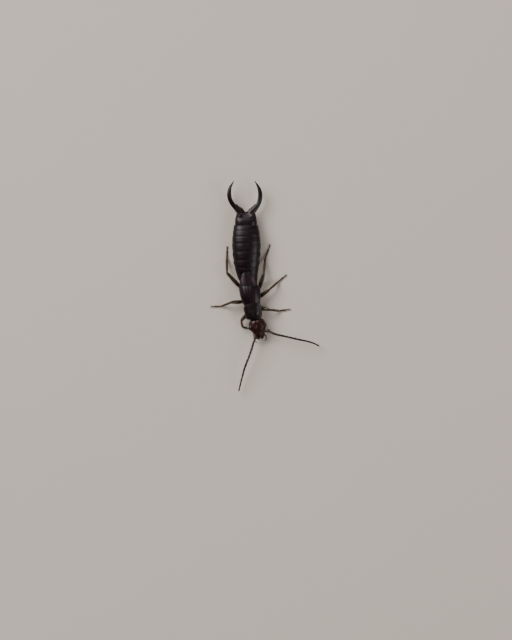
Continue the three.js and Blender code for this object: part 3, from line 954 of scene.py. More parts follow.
def hair_tree():
    """Fine hairs on a surface, leaning along its flow, where the mark called hair lets them grow."""
    tree, given = new_tree("hairs", "GeometryNodeTree", (
        ("Geometry", "Geometry", None), ("Density", "Float", 1e7), ("Length", "Float", 0.0001),
        ("Thickness", "Float", 0.00001), ("Lean", "Float", 1.5), ("Seed", "Int", 1),
        ("Material", "Material", None)), ("Geometry", "Geometry"))
    roots = add_node(tree, "GeometryNodeDistributePointsOnFaces", {
        "Mesh": given["Geometry"], "Seed": given["Seed"],
        "Density": maths(tree, "MULTIPLY", read_mark(tree, "hair"), given["Density"])})
    lean = add_node(tree, "ShaderNodeVectorMath", {
        0: read_mark(tree, "flow", "FLOAT_VECTOR"), "Scale": given["Lean"]}, operation="SCALE")
    stray = add_node(tree, "FunctionNodeRandomValue", {
        0: (-0.35, -0.35, -0.35), 1: (0.35, 0.35, 0.35), "Seed": 7}, data_type="FLOAT_VECTOR")
    leaned = add_node(tree, "ShaderNodeVectorMath", {
        0: lean, 1: stray, 2: roots.outputs["Normal"]})
    upright = add_node(tree, "ShaderNodeVectorMath", {0: leaned, 1: roots.outputs["Normal"]})
    turned = add_node(tree, "FunctionNodeAlignRotationToVector", {"Vector": upright}, axis="Z")
    hair = add_node(tree, "GeometryNodeMeshCone", {
        "Vertices": 4, "Radius Top": 0.12, "Radius Bottom": 1.0, "Depth": 1.0})
    lengths = add_node(tree, "FunctionNodeRandomValue", {
        2: 0.55, 3: 1.15, "Seed": 11}, data_type="FLOAT")
    half = maths(tree, "MULTIPLY", given["Thickness"], 0.5)
    size = add_node(tree, "ShaderNodeCombineXYZ", {
        "X": half, "Y": half, "Z": maths(tree, "MULTIPLY", given["Length"], lengths.outputs[1])})
    grown = add_node(tree, "GeometryNodeInstanceOnPoints", {
        "Points": roots, "Instance": hair,
        "Rotation": turned, "Scale": size})
    return end_tree(tree, grown, given["Material"])


def once(collection, name, maker):
    """A node group or material that is made the first time it is asked for."""
    return collection.get(name) or maker()


# Finishes

def millimetres(tree):
    """Places on the model in millimetres."""
    place = add_node(tree, "ShaderNodeTexCoord").outputs["Object"]
    return add_node(tree, "ShaderNodeVectorMath", {0: place, "Scale": 1 / MM}, operation="SCALE")


def mottle_group():
    """Soft blotches over a shell, as a mask from 0 to 1."""
    tree, given = new_tree("shell_mottle", "ShaderNodeTree", (
        ("Scale", "Float", 1.0), ("Contrast", "Float", 1.0)), ("Mask", "Float"))
    noise = add_node(tree, "ShaderNodeTexNoise", {
        "Vector": millimetres(tree), "Scale": given["Scale"], "Detail": 4.0, "Roughness": 0.6})
    centred = maths(tree, "SUBTRACT", noise, 0.5)
    stretched = maths(tree, "MULTIPLY", centred, given["Contrast"])
    add_node(tree, "NodeGroupOutput", {"Mask": maths(tree, "ADD", stretched, 0.5, use_clamp=True)})
    return tree


def relief_group():
    """Fine pits and grain in a shell, as a height in millimetres."""
    tree, given = new_tree("shell_relief", "ShaderNodeTree", (
        ("Pits", "Float", 8.0), ("Pit Depth", "Float", 0.004), ("Grain", "Float", 20.0),
        ("Grain Depth", "Float", 0.002)), ("Height", "Float"))
    place = millimetres(tree)
    cells = add_node(tree, "ShaderNodeTexVoronoi", {"Vector": place, "Scale": given["Pits"]})
    slope = add_node(tree, "ShaderNodeMapRange", {
        "Value": cells, "From Min": 0.08, "From Max": 0.34},
        interpolation_type="SMOOTHSTEP")
    pits = maths(tree, "MULTIPLY", slope, given["Pit Depth"])
    noise = add_node(tree, "ShaderNodeTexNoise", {
        "Vector": place, "Scale": given["Grain"], "Detail": 3.0})
    grain = maths(tree, "MULTIPLY", noise, given["Grain Depth"])
    add_node(tree, "NodeGroupOutput", {"Height": maths(tree, "ADD", pits, grain)})
    return tree


def blend(tree, mask, first, second):
    """Two colours mixed by a mask; each is a colour or a socket."""
    return add_node(tree, "ShaderNodeMix", {0: mask, 6: first, 7: second}, data_type="RGBA").outputs[2]


def tinted(name, share=1.0):
    """A colour of the model with a share of its light."""
    colour = getattr(bpy.context.scene.earwig_colours, name)
    return (*(channel * share for channel in colour), 1.0)


def empty_material(name):
    """A material without nodes, and its tree."""
    material = bpy.data.materials.new(name)
    material.use_nodes = True
    material.node_tree.nodes.clear()
    return material, material.node_tree


def horn(name, dark, light, edge, tone, *, rough, coat, pits, pit_depth, scale=1.6, coat_rough=0.16,
         grain_depth=0.002, edge_share=0.8, soft=0.0):
    """A shell finish: mottled between two colours, another at plate edges, with pits and grain."""
    material, tree = empty_material(name)
    mottle = add_node(tree, "ShaderNodeGroup", {
        "Scale": scale, "Contrast": BLOTCH_CONTRAST},
        node_tree=once(bpy.data.node_groups, "shell_mottle", mottle_group))
    relief = add_node(tree, "ShaderNodeGroup", {
        "Pits": pits, "Pit Depth": pit_depth, "Grain": GRAIN_SCALE, "Grain Depth": grain_depth},
        node_tree=once(bpy.data.node_groups, "shell_relief", relief_group))
    colour = blend(tree, mottle, tinted(*dark), tinted(*light))
    if tone is not None:
        mark = add_node(tree, "ShaderNodeAttribute", attribute_name="tone")
        colour = blend(tree, mark.outputs["Fac"], colour, tinted(*tone))
    mark = add_node(tree, "ShaderNodeAttribute", attribute_name="edge")
    mask = maths(tree, "MULTIPLY", mark.outputs["Fac"], edge_share)
    colour = blend(tree, mask, colour, tinted(*edge))
    gloss = add_node(tree, "ShaderNodeMapRange", {
        "Value": mottle, "To Min": rough[0], "To Max": rough[1]})
    bump = add_node(tree, "ShaderNodeBump", {
        "Height": relief, "Distance": MM, "Strength": 1.0})
    shader = add_node(tree, "ShaderNodeBsdfPrincipled", {
        "Base Color": colour, "Roughness": gloss, "Normal": bump,
        "IOR": REFRACTION, "Specular IOR Level": SHINE, "Coat Weight": coat,
        "Coat Roughness": coat_rough, "Subsurface Weight": soft, "Subsurface Scale": SOFT_DEPTH * MM})
    add_node(tree, "ShaderNodeOutputMaterial", {"Surface": shader})
    return material


def shell(name):
    """A shell finish of the table, made the first time it is asked for."""
    *colours, values = SHELLS[name]
    return once(bpy.data.materials, name, lambda: horn(name, *colours, **values))


def pale_floor():
    """A plain, pale, dull floor."""
    material, tree = empty_material("pale_floor")
    place = add_node(tree, "ShaderNodeTexCoord").outputs["Object"]
    noise = add_node(tree, "ShaderNodeTexNoise", {"Vector": place, "Scale": 40.0, "Detail": 3.0})
    colour = blend(tree, noise, tinted("floor", 0.985), tinted("floor"))
    shader = add_node(tree, "ShaderNodeBsdfPrincipled", {
        "Base Color": colour, "Roughness": 0.9, "Specular IOR Level": 0.1})
    add_node(tree, "ShaderNodeOutputMaterial", {"Surface": shader})
    return material


# Head

def line_distance(points, start, end):
    """How far points in a plane are from the line between two places."""
    start, end = np.array(start, float), np.array(end, float)
    way = end - start
    share = np.clip(((points - start) @ way) / (way @ way), 0, 1)
    return np.linalg.norm(points - start - share[..., None] * way, axis=-1)


def sided(place, side):
    """A place in the head's frame, mirrored for the right side."""
    return np.array(place) * (side, 1, 1)[:len(place)]


def head_route(places, side):
    """A route given in the head's frame, mirrored for the right side."""
    return Route([moved(sided(place, side), HEAD_FRAME) for place in places])


def head_lift(points, normals):
    """How far the head's shell rises or sinks: its seams, swellings, eye rims, sockets and dent."""
    flat = points[..., :2]
    above = ease(normals[..., 2], 0.1, 0.5)
    forks = [line_distance(flat, CROWN_SEAM[1], sided(FORK_END, side)) for side in (-1, 1)]
    suture = np.minimum(line_distance(flat, *CROWN_SEAM), np.minimum(*forks))
    lift = -0.018 * hump(suture, 0.034) * above
    for side in (-1, 1):
        for place, rise, width in SWELLINGS:
            swelling = np.linalg.norm(flat - sided(place, side), axis=-1)
            lift = lift + rise * hump(swelling, width) * above
        eye = (points - sided(EYE_PLACE, side)) / np.array(EYE_SIZE)
        lift = lift + 0.035 * hump(np.linalg.norm(eye, axis=-1) - 1.22, 0.16)
        socket = np.linalg.norm(points - sided(SOCKET_PLACE, side), axis=-1)
        lift = lift + 0.045 * hump(socket - 0.2, 0.05) - 0.07 * hump(socket, 0.12)
    lift = lift - 0.05 * hump(flat[..., 0], 0.3) * ease(flat[..., 1], 0.85, 1.08)
    return lift - 0.014 * hump(line_distance(flat, *FRONT_DENT), 0.03) * above


def make_head():
    """The head capsule, with its sutures, eye rims and the sockets of the antennae."""
    grid = closed_trunk(HEAD, "head", HEAD_POWER)
    normals = grid_normals(grid, True)
    grid = grid + normals * head_lift(grid, normals)[..., None]
    behind = ease(grid[..., 1], 0.82, 1.02)
    front = ease(-grid[..., 1], 0.45, 0.75)
    hair = 0.12 * ease(normals[..., 2], -0.2, 0.6) + 0.5 * front
    shape = Shape()
    shape.tube(moved(grid, HEAD_FRAME), tone=0.5 * behind, hair=hair, edge=0.35 * front)
    for side in (-1, 1):
        shape.tube(moved(egg(sided(SOCKET_PLACE, side), SOCKET_BALL), HEAD_FRAME), tone=1.0)
    make_piece("head_shell", shape, "mahogany_horn", "head_shell", "head")


def make_eyes():
    """The two compound eyes, each an egg of small six-sided facets."""
    tree = once(bpy.data.node_groups, "compound_eye", facet_tree)
    for side, word in HANDS:
        place = moved(sided(EYE_PLACE, side), HEAD_FRAME) + OFFSET
        mesh = run_geometry("facets", tree, None, **{
            "Place": tuple(place * MM), "Turn": (0, 0, math.radians(HEAD_TURN)),
            "Size": tuple(np.array(EYE_SIZE) * MM), "Material": shell("facet_black")})
        make_piece(f"compound_eye_{word}", mesh, "facet_black", "eye", f"eye_{word}")


def jointed(route, joints, halves, sides=14):
    """A jointed feeler through a route, with the lengths of its joints and half its thickness."""
    count = JOINT_PLACES * len(joints)
    share = np.linspace(0, 1, count)
    places = (route.at(share) + OFFSET) * MM
    ends = np.cumsum(joints) / np.sum(joints)
    joint = np.interp(share, np.concatenate([[0.0], ends]), np.arange(len(joints) + 1))
    joint[-1] = len(joints) - 0.001
    source = bpy.data.meshes.new("middle_line")
    source.from_pydata(places.tolist(), [(i, i + 1) for i in range(count - 1)], [])
    write_mark(source, "joint", joint)
    write_mark(source, "half", np.interp(joint, *zip(*halves)) * MM)
    write_mark(source, "reach", share)
    write_mark(source, "hair", np.ones(count))
    write_mark(source, "tone", 1 - ease(joint, 1.5, 4.5))
    write_mark(source, "flow", unit(np.gradient(places, axis=0)))
    tree = once(bpy.data.node_groups, "jointed_feeler", feeler_tree)
    return run_geometry("feeler", tree, source, **{
        "Rings": JOINT_RINGS * len(joints) + 1, "Sides": sides, "Material": shell("feeler_horn")})


def make_mouthparts():
    """The clypeus, upper lip, mandibles, maxillae and lower lip."""
    shape = Shape()
    clypeus = tongue(CLYPEUS, CLYPEUS_SPAN, "clypeus")
    shape.plate(moved(clypeus, HEAD_FRAME), THICKNESS["clypeus"], UP, hair=0.5, edge=0.5)
    lip = tongue(LIP, LIP_SPAN, "lip")
    shape.plate(moved(lip, HEAD_FRAME), THICKNESS["lip"], UP, hair=1.6, edge=0.25)
    rows, sides = GRIDS["jaw"]
    share = spread(rows)
    wide = np.interp(share, (0, 0.3, 0.7, 1), (0.2, 0.19, 0.13, 0.03)) * dome(share, 0.12, 0.05)
    toothed = wide + (0.05 * hump(share - 0.8, 0.04) + 0.03 * hump(share - 0.68, 0.03))
    for side in (-1, 1):
        right, left = (toothed, wide) if side < 0 else (wide, toothed)
        jaw = sweep(head_route(JAW_ROUTE, side), share, (right, left, 0.8 * wide, 0.8 * wide), sides)
        shape.tube(jaw, tone=ease(share, 0.5, 0.9)[:, None])
        shape.tube(limb(head_route(MAXILLA_ROUTE, side), MAXILLA), hair=0.6, edge=0.5)
    chin = closed_trunk(CHIN, "chin")
    shape.tube(moved(chin, HEAD_FRAME), hair=0.5, edge=0.4)
    make_piece("jaws_and_lips", shape, "mahogany_horn", "head_shell", "mouthparts")


def make_palps():
    """The four feelers of the mouth: two with five joints and two with three."""
    meshes = []
    for side in (-1, 1):
        for places, joints, halves in PALPS:
            meshes.append(jointed(head_route(places, side), joints, halves))
    make_piece("mouth_feelers", joined_mesh("mouth_feelers", meshes), "amber_leg", "leg")


def make_antennae(sizes):
    """The antennae: a long first joint, a short second and twelve that grow longer to the tip."""
    scape, feeler = sizes.scape / MM / 2, sizes.feeler / MM / 2
    halves = (
        (0, 0.8 * scape), (0.3, scape), (1, scape), (1.01, 0.8 * feeler), (2, 0.95 * feeler),
        (3, feeler), (9, 0.9 * feeler), (14, 0.62 * feeler))
    for side, word in HANDS:
        socket = moved(sided(SOCKET_PLACE, side), HEAD_FRAME)
        mesh = jointed(Route([socket, *ANTENNA_ROUTES[word]]), JOINT_LENGTHS, halves, sides=20)
        make_piece(f"feeler_{word}", mesh, "feeler_horn", "antenna", f"antenna_{word}")


# Thorax

def make_shield():
    """The neck shield: a domed plate with thin, paler side edges and a furrow down its middle."""
    half = SHIELD_LENGTH / 2
    stations = [(share * half, *rest) for share, *rest in SHIELD]
    grid = tongue(stations, (-half, half), "shield", power=3.0, roundness=2.4, cup=0.05)
    x, y = grid[..., 0], grid[..., 1]
    lift = -0.012 * hump(x, 0.02) * ease(-y, -0.4, 0.0) * ease(y, -0.88, -0.7)
    for side in (-1, 1):
        knob_x, knob_y = sided(SHIELD_KNOB, side)
        lift = lift + 0.045 * hump(np.hypot(x - knob_x, (y - knob_y) * 0.8), 0.28)
    lift = lift - 0.022 * hump(y - 0.22, 0.2) * hump(x, 0.75)
    grid[..., 2] += lift
    rows, columns = GRIDS["shield"]
    margin = ease(np.abs(np.linspace(1, -1, columns)), 0.8, 0.93)
    back = ease(np.linspace(0, 1, rows)[:, None], 0.94, 1.0)
    edge = np.clip(margin + 0.6 * back, 0, 1)
    shape = Shape()
    shape.plate(
        moved(grid, SHIELD_FRAME), THICKNESS["shield"], UP, edge=edge, hair=0.08 + 0.6 * margin)
    make_piece("neck_shield", shape, "brown_horn", "thorax_shell", "pronotum")


def soft_stations():
    """Stations of the soft skin: a little inside the plates from the neck to the tail."""
    middle = [(y, x, half - 0.06, under + 0.05, back - 0.07) for y, x, half, under, back in ABDOMEN]
    tail = [(y, x, half - 0.08, under + 0.05, back - 0.08) for y, x, half, under, back in TAIL[1:]]
    return (*SOFT_FRONT, *middle, *tail)


def make_soft_body():
    """The soft skin that joins head, thorax and abdomen, seen at the neck and between the plates."""
    grid = closed_trunk(soft_stations(), "skin")
    folds = 0.02 * np.sin(grid[..., 1] * 34) * ease(-grid[..., 1], 3.5, 3.75)
    shape = Shape()
    shape.tube(grid + grid_normals(grid, True) * folds[..., None])
    make_piece("soft_skin", shape, "joint_skin", "thorax_shell", "prothorax", "thorax")


def make_thorax_plates(sizes):
    """The plates of the thorax that show below the wing cases: breast plates and side plates."""
    surface = body_surface(soft_stations())
    shape = Shape()
    thickness = sizes.plate / MM
    for start, end, reach in BREAST_PLATES:
        grid, share, _ = plate_over(
            surface, (start, end), (UNDERSIDE - reach, UNDERSIDE + reach), "breast",
            lambda share, across: 0.035 + 0.02 * np.sin(math.pi * share), 0.3, 2.6, 0.16)
        shape.plate(grid, thickness, edge=ease(share, 0.84, 1), hair=0.35)
    for span in SIDE_PLATES:
        for angles in SIDE_ANGLES:
            grid, share, _ = plate_over(
                surface, span, angles, "side",
                lambda share, across: 0.03 + 0.03 * np.sin(math.pi * share) * np.sin(math.pi * across),
                0.1, 4, 0.1)
            shape.plate(grid, thickness, edge=0.5 * ease(share, 0.8, 1), hair=0.3)
    make_piece("thorax_plates", shape, "brown_horn", "thorax_shell")


def wing_plate(word, wing, span, name, lift):
    """The outer face of a plate of one wing, with the shares along it and out from the seam."""
    stations, half, edge = wing
    left = word == "left"
    seam = math.degrees(math.asin((SUTURE / half) ** (1 / WING_POWER)))
    angles = (edge, 90 - seam) if left else (90 + seam, 180 - edge)
    grid, share, across = plate_over(
        body_surface(stations, WING_POWER), span, angles, name,
        lambda share, across: lift(share, 1 - across if left else across))
    return grid, share, 1 - across if left else across


def case_lift(share, outward):
    """The relief of a wing case: its shoulder, the furrow by the seam, its keel and its veins."""
    shoulder = 0.05 * hump(share - 0.24, 0.16) * hump(outward - 0.52, 0.14)
    furrow = -0.014 * hump(outward - 0.12, 0.03) * ease(share, 0.1, 0.3)
    keel = 0.03 * hump(outward - 0.66, 0.035)
    vein = 0.008 * hump(np.sin(outward * 26 + share * 1.5), 0.4) * ease(outward, 0.2, 0.4)
    return shoulder + furrow + keel + vein


def make_wing_cases():
    """The two leathery wing cases, which meet in a straight seam down the back."""
    for _, word in HANDS:
        grid, share, outward = wing_plate(
            word, (WING_CASE, *WING_CASE_SIDES), WING_CASE_SPAN, "wing_case", case_lift)
        grid[..., 1] -= (0.05 + 0.26 * ease(outward, 0.55, 1.0) ** 1.5) * share ** 6
        edge = np.maximum(ease(share, 0.955, 1.0), 0.7 * ease(outward, 0.93, 1.0))
        shape = Shape()
        shape.plate(grid, THICKNESS["wing_case"], edge=edge, hair=0.1)
        make_piece(f"wing_case_{word}", shape, "wing_leather", "wing_case", f"tegmen_{word}")


def make_wing_tips():
    """The folded tips of the hind wings: two layers a side, with a pale spot on the upper one."""
    for _, word in HANDS:
        shape = Shape()
        for layer, (rise, span) in enumerate(WING_TIP_LAYERS):
            def lift(share, outward, rise=rise):
                return rise + 0.02 * np.sin(math.pi * outward) - 0.012 * hump(outward - 0.3, 0.02)

            grid, share, outward = wing_plate(
                word, (WING_TIP, *WING_TIP_SIDES), span, "wing_tip", lift)
            pull = 0.85 * outward ** 2.2 + 0.1 * (1 - outward) ** 10
            grid[..., 1] -= pull * share ** 2
            spot = hump(outward - 0.42, 0.2) * hump(share - 0.58, 0.24)
            edge = np.maximum(ease(share, 0.95, 1.0), ease(outward, 0.9, 1.0))
            shape.plate(grid, THICKNESS["wing_tip"], edge=0.7 * edge, tone=spot * (1 - layer))
        make_piece(f"wing_fold_{word}", shape, "wing_fold", "wing_tip", f"wing_tip_{word}")


# Abdomen

def plate_spans(shift=0.0):
    """Where each free plate of the abdomen starts and ends; each start lies under the plate before."""
    starts = (ABDOMEN[0][0], *PLATE_ENDS[:-1])
    return [(start - PLATE_TUCK + shift, end + shift) for start, end in zip(starts, PLATE_ENDS)]


def make_abdomen(sizes):
    """The back plates and belly plates of the abdomen, each over the front of the next."""
    surface = body_surface(ABDOMEN)
    step, thickness = sizes.plate_step / MM, sizes.plate / MM
    backs, bellies = Shape(), Shape()
    for number, span in enumerate(plate_spans()):
        def lift(share, across, number=number):
            rise = step * (0.75 * ease(share, 0.05, 0.55) + 0.25 * ease(share, 0.5, 0.95))
            rise = rise - 0.012 * hump(share - 0.9, 0.03)
            degrees = between(*BACK_ANGLES, across)
            side = np.minimum(np.abs(degrees - GLAND_ANGLES[0]), np.abs(degrees - GLAND_ANGLES[1]))
            return rise + GLAND_RISE.get(number, 0.0) * hump(side, 9) * hump(share - 0.74, 0.13)

        grid, share, across = plate_over(surface, span, BACK_ANGLES, "back", lift, 0.12, 10)
        # The tone here is a painted sheen streak: a faint lighter band down each back plate, a little to
        # the animal's right of its middle
        backs.plate(
            grid, thickness, edge=ease(share, 0.93, 1.0), tone=0.125 * hump(across - 0.62, 0.16),
            hair=0.25 + 0.8 * ease(share, 0.8, 0.97))
    for span in plate_spans(BELLY_SHIFT):
        grid, share, _ = plate_over(
            surface, span, BELLY_ANGLES, "belly",
            lambda share, across: -0.02 + 0.8 * step * ease(share, 0.05, 0.9), 0.22, 3)
        bellies.plate(grid, thickness, edge=ease(share, 0.86, 1.0), tone=0.5, hair=0.9)
    make_piece("back_plates", backs, "black_horn", "abdomen_shell", "abdomen")
    make_piece("belly_plates", bellies, "black_horn", "abdomen_shell")


def last_lift(share, across):
    """The relief of the last plate: two knobs over the forceps, a dent between them and a crease."""
    angle = np.radians(between(*LAST_ANGLES, across))
    side = np.cos(angle)
    top = ease(np.sin(angle), 0.2, 0.7)
    knobs = 0.13 * hump(np.abs(side) - 0.48, 0.15) * hump(share - 0.86, 0.11)
    dent = -0.08 * hump(side, 0.2) * ease(share, 0.5, 0.95)
    crease = -0.03 * hump(share - 0.62, 0.06) * hump(np.abs(side) - 0.4, 0.4)
    return -0.02 + (knobs + dent + crease) * top + 0.02 * hump(share - 0.97, 0.04)


def make_last_plate():
    """The large last plate with its two knobs, the plate under it and the small tail plate."""
    shape = Shape()
    grid, share, across = plate_over(
        body_surface(TAIL, TAIL_POWER), LAST_SPAN, LAST_ANGLES, "last", last_lift, 0.1, 6)
    side = np.abs(np.cos(np.radians(between(*LAST_ANGLES, across))))
    grid[..., 1] += 0.08 * hump(side - 0.5, 0.22) * share ** 8
    # Painted light: the pale patch in the dent between the knobs is a painted reflection of the sky, and
    # the pale spots on the plate's flanks are painted highlights
    pale = 0.5 * hump(side, 0.26) * hump(share - 0.84, 0.16)
    pale = pale + 0.6 * hump(side - 0.86, 0.1) * hump(share - 0.7, 0.2)
    shape.plate(grid, THICKNESS["last"], edge=ease(share, 0.95, 1.0), tone=pale, hair=0.35)
    grid, share, _ = plate_over(
        body_surface(soft_stations()), UNDER_LAST_SPAN, UNDER_LAST_ANGLES, "under_last",
        lambda share, across: 0.025 + 0.035 * ease(share, 0.2, 0.7), 0.5, 3)
    shape.plate(grid, THICKNESS["under_last"], edge=ease(share, 0.92, 1.0), tone=0.4, hair=0.9)
    shape.tube(closed_trunk(TAIL_PLATE, "tail"), tone=0.6)
    make_piece("tail_plates", shape, "black_horn", "abdomen_shell", "last_tergite")


def make_forceps(sizes):
    """The two arms of the forceps: a broad toothed root, then a round bowed arm drawn to a point."""
    arm = sizes.arm / MM / 2
    rows, sides = GRIDS["arm"]
    share = spread(rows)
    taper = 1 - 0.86 * ease(share, 0.6, 1.14) / ease(1.0, 0.6, 1.14)
    outer = np.interp(share, (0, 0.1, 0.24, 0.34, 1), (0.5, 0.44, 0.3, arm * 1.08, arm)) * taper
    inner = np.interp(
        share, (0, 0.1, 0.2, 0.3, 0.34, 1), (0.5, 0.46, 0.42, 0.34, arm * 1.1, arm)) * taper
    toothed = ease(share, 0.09, 0.12) * ease(-share, -0.3, -0.27)
    teeth = np.abs(np.sin(share * math.pi / TOOTH_LENGTH)) ** 1.5 * toothed
    inner = inner + 0.045 * teeth + 0.12 * hump(share - 0.295, 0.012)
    high = np.interp(share, (0, 0.12, 0.3, 0.6, 1), (0.27, 0.25, 0.2, 0.95 * arm, 0.95 * arm)) * taper
    swell = dome(share, 0.05, 0.012)
    outer, inner, high = outer * swell, inner * swell, high * swell
    root = 1 - ease(share, 0.1, 0.34)[:, None]
    for word, places in ARM_ROUTES.items():
        right, left = (outer, inner) if word == "left" else (inner, outer)
        shape = Shape()
        shape.tube(
            sweep(Route(places), share, (right, left, high, high), sides),
            tone=0.55 * root, hair=0.15 + 0.5 * root)
        make_piece(f"forceps_arm_{word}", shape, "forceps_horn", "forceps", f"forceps_{word}")


# Legs

def make_leg(name, places, sizes):
    """One leg: hip, ring, thigh, shin, a foot of three joints and two claws."""
    hip, thigh_start, knee, ankle, foot_end = (np.array(place, float) for place in places)
    thigh, shin, foot = (size / MM / 2 for size in (sizes.thigh, sizes.shin, sizes.foot))
    shape = Shape()

    def add(places, stations, size, caps, pale=(0.0, 0.0), rows=34, sides=24, **marks):
        """Add a part of the leg; pale tells how pale its two ends are."""
        sized = [(share, wide * size, high * size) for share, wide, high in stations]
        edge = np.linspace(*pale, rows)[:, None]
        shape.tube(limb(Route(places), sized, rows, sides, caps), edge=edge, **marks)

    add([between(hip, thigh_start, share) for share in (-0.4, 0.3, 0.78)],
        HIP, 1, (0.42, 0.2), tone=0.6, hair=0.4)
    add([between(hip, thigh_start, share) for share in (0.6, 1.06)],
        RING, 1, (0.3, 0.4), tone=0.3, hair=0.3)
    add((between(thigh_start, knee, -0.06), between(thigh_start, knee, 0.45) + LEG_BOW,
         between(knee, thigh_start, -0.05)),
        THIGH, thigh, (0.08, 0.09), rows=50, sides=28, hair=0.5)
    shape.tube(egg(between(knee, ankle, 0.02), KNEE_BALL), tone=0.6)
    add((between(knee, ankle, -0.02), between(knee, ankle, 0.4) + LEG_BOW * 0.8,
         between(knee, ankle, 1.02)),
        SHIN, shin, (0.07, 0.06), (0.1, 0.7), rows=50, hair=1.0)
    on_floor = np.array((1, 1, 0))
    turns = [between(knee, ankle, 0.99)]
    for share, height in FOOT_TURNS:
        turns.append(between(ankle, foot_end, share) * on_floor + UP * foot * height)
    heel = between(turns[0], turns[1], 0.3) - UP * 0.02
    add((turns[0], heel, between(turns[0], turns[1], 1.02)),
        FIRST_FOOT, foot, (0.1, 0.09), (0.8, 1.0), hair=1.5)
    add((turns[1], between(turns[1], turns[2], 1.15)),
        SECOND_FOOT, foot, (0.2, 0.25), (0.9, 1.0), hair=1.5)
    add((turns[2] + UP * 0.02, between(turns[2], turns[3], 0.5) + UP * 0.03, turns[3]),
        LAST_FOOT, foot, (0.1, 0.12), (1.0, 1.0), hair=1.0)
    along = unit((turns[3] - turns[2]) * on_floor)
    side = np.cross(along, UP)
    for hand in (-1, 1):
        add((
            turns[3] - along * 0.03 + side * hand * 0.03,
            turns[3] + along * 0.07 + side * hand * 0.075 + UP * 0.03,
            turns[3] + along * 0.15 + side * hand * 0.12 - UP * 0.02,
            turns[3] * on_floor + along * 0.18 + side * hand * 0.125 + UP * 0.012,
        ), CLAW, 1, (0.1, 0.05), rows=24, sides=12, tone=1.0)
    make_piece(f"jointed_leg_{name}", shape, "amber_leg", "leg", f"leg_{name}")


def make_legs(sizes):
    """The six legs."""
    for name, places in LEG_ROUTES.items():
        make_leg(name, places, sizes)


# Hairs

def keep_above_floor(mesh):
    """Bend hairs that would reach below the floor along it."""
    places = read_numbers(mesh.vertices, "co", 3)
    places[:, 2] = np.maximum(places[:, 2], HAIR_CLEARANCE * MM)
    mesh.vertices.foreach_set("co", places.ravel())


def bake_map(mesh, strip, strips):
    """Give each hair a small patch at its root's place on the unwrapping, in a strip of the map."""
    lie = read_numbers(mesh.attributes["lie"].data, "vector", 3)[:, :2]
    lie[:, 0] = (strip + lie[:, 0]) / strips
    point = np.arange(len(lie)) % HAIR_POINTS
    lie = lie + HAIR_PATCH * np.stack([(point % 4) / 4, point / HAIR_POINTS], -1)
    loops = read_numbers(mesh.loops, "vertex_index", 1, np.int32)[:, 0]
    layer = mesh.uv_layers.new(name="OFBake")
    layer.data.foreach_set("uv", lie[loops].astype(np.float32).ravel())


def make_hairs(sizes):
    """Fine hairs on the body, legs and feelers."""
    tree = once(bpy.data.node_groups, "hairs", hair_tree)
    for seed, (name, hosts, density, length, lean, slot) in enumerate(COATS):
        meshes = []
        for strip, host in enumerate(hosts):
            hairs = run_geometry("hairs", tree, bpy.data.objects[host].data.copy(), **{
                "Density": sizes.hair_density * density, "Length": sizes.hair_length * length,
                "Thickness": sizes.hair_thickness, "Lean": lean, "Seed": seed + strip,
                "Material": shell("hair_amber")})
            bake_map(hairs, strip, len(hosts))
            meshes.append(hairs)
        mesh = joined_mesh(name, meshes)
        keep_above_floor(mesh)
        make_piece(name, mesh, "hair_amber", slot)


# Stage

def make_floor():
    """A level round floor whose rim rises softly far behind the model."""
    rows, sides = FLOOR_GRID
    angles = np.linspace(0, 2 * math.pi, sides, endpoint=False)
    circle = np.stack([np.cos(angles), np.sin(angles), 0 * angles], -1)
    rings = []
    for share in np.linspace(0, 1, rows):
        rings.append(between(FLOOR_LEVEL, FLOOR_REACH, share) * circle + UP * FLOOR_RISE * share ** 3)
    number = np.arange(rows * sides).reshape(rows, sides)
    after = np.roll(number, -1, 1)
    slope = np.stack([number[:-1], number[1:], after[1:], after[:-1]], -1).reshape(-1, 4)
    mesh = bpy.data.meshes.new("floor")
    mesh.from_pydata(np.vstack(rings).tolist(), [], [number[0].tolist(), *slope.tolist()])
    mesh.polygons.foreach_set("use_smooth", np.arange(len(mesh.polygons)) > 0)
    mesh.materials.append(pale_floor())
    add_object("floor", mesh)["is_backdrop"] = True


def make_stage():
    """A plain pale floor, soft light from above, and a camera that looks straight down."""
    make_floor()
    scene = bpy.context.scene
    world = bpy.data.worlds.new("soft_sky")
    world.use_nodes = True
    sky = world.node_tree.nodes["Background"].inputs
    sky["Color"].default_value = SKY_COLOUR
    sky["Strength"].default_value = SKY_STRENGTH
    scene.world = world

    for name, place, size, power in LIGHTS:
        light = bpy.data.lights.new(name, "AREA")
        light.shape = "SQUARE"
        light.size = size
        light.energy = power
        lamp = add_object(name, light)
        lamp.location = place
        lamp.rotation_euler = Vector(place).to_track_quat("Z", "Y").to_euler()

    camera = bpy.data.cameras.new("camera")
    camera.sensor_width = SENSOR
    camera.lens = LENS
    camera.clip_start, camera.clip_end = CLIP
    viewer = add_object("camera", camera)
    x, y = np.array(FRAME_CENTRE) + OFFSET[:2]
    viewer.location = Vector((x, y, LENS / SENSOR * FRAME_HEIGHT)) * MM
    scene.camera = viewer


# Add-on

def length(name, description, default):
    """A length in metres."""
    return bpy.props.FloatProperty(
        name=name, description=description, default=default, min=1e-6, precision=6, unit="LENGTH")


def tint(name, description, default):
    """A colour."""
    return bpy.props.FloatVectorProperty(
        name=name, description=description, default=default, subtype="COLOR", size=3, min=0, max=1)


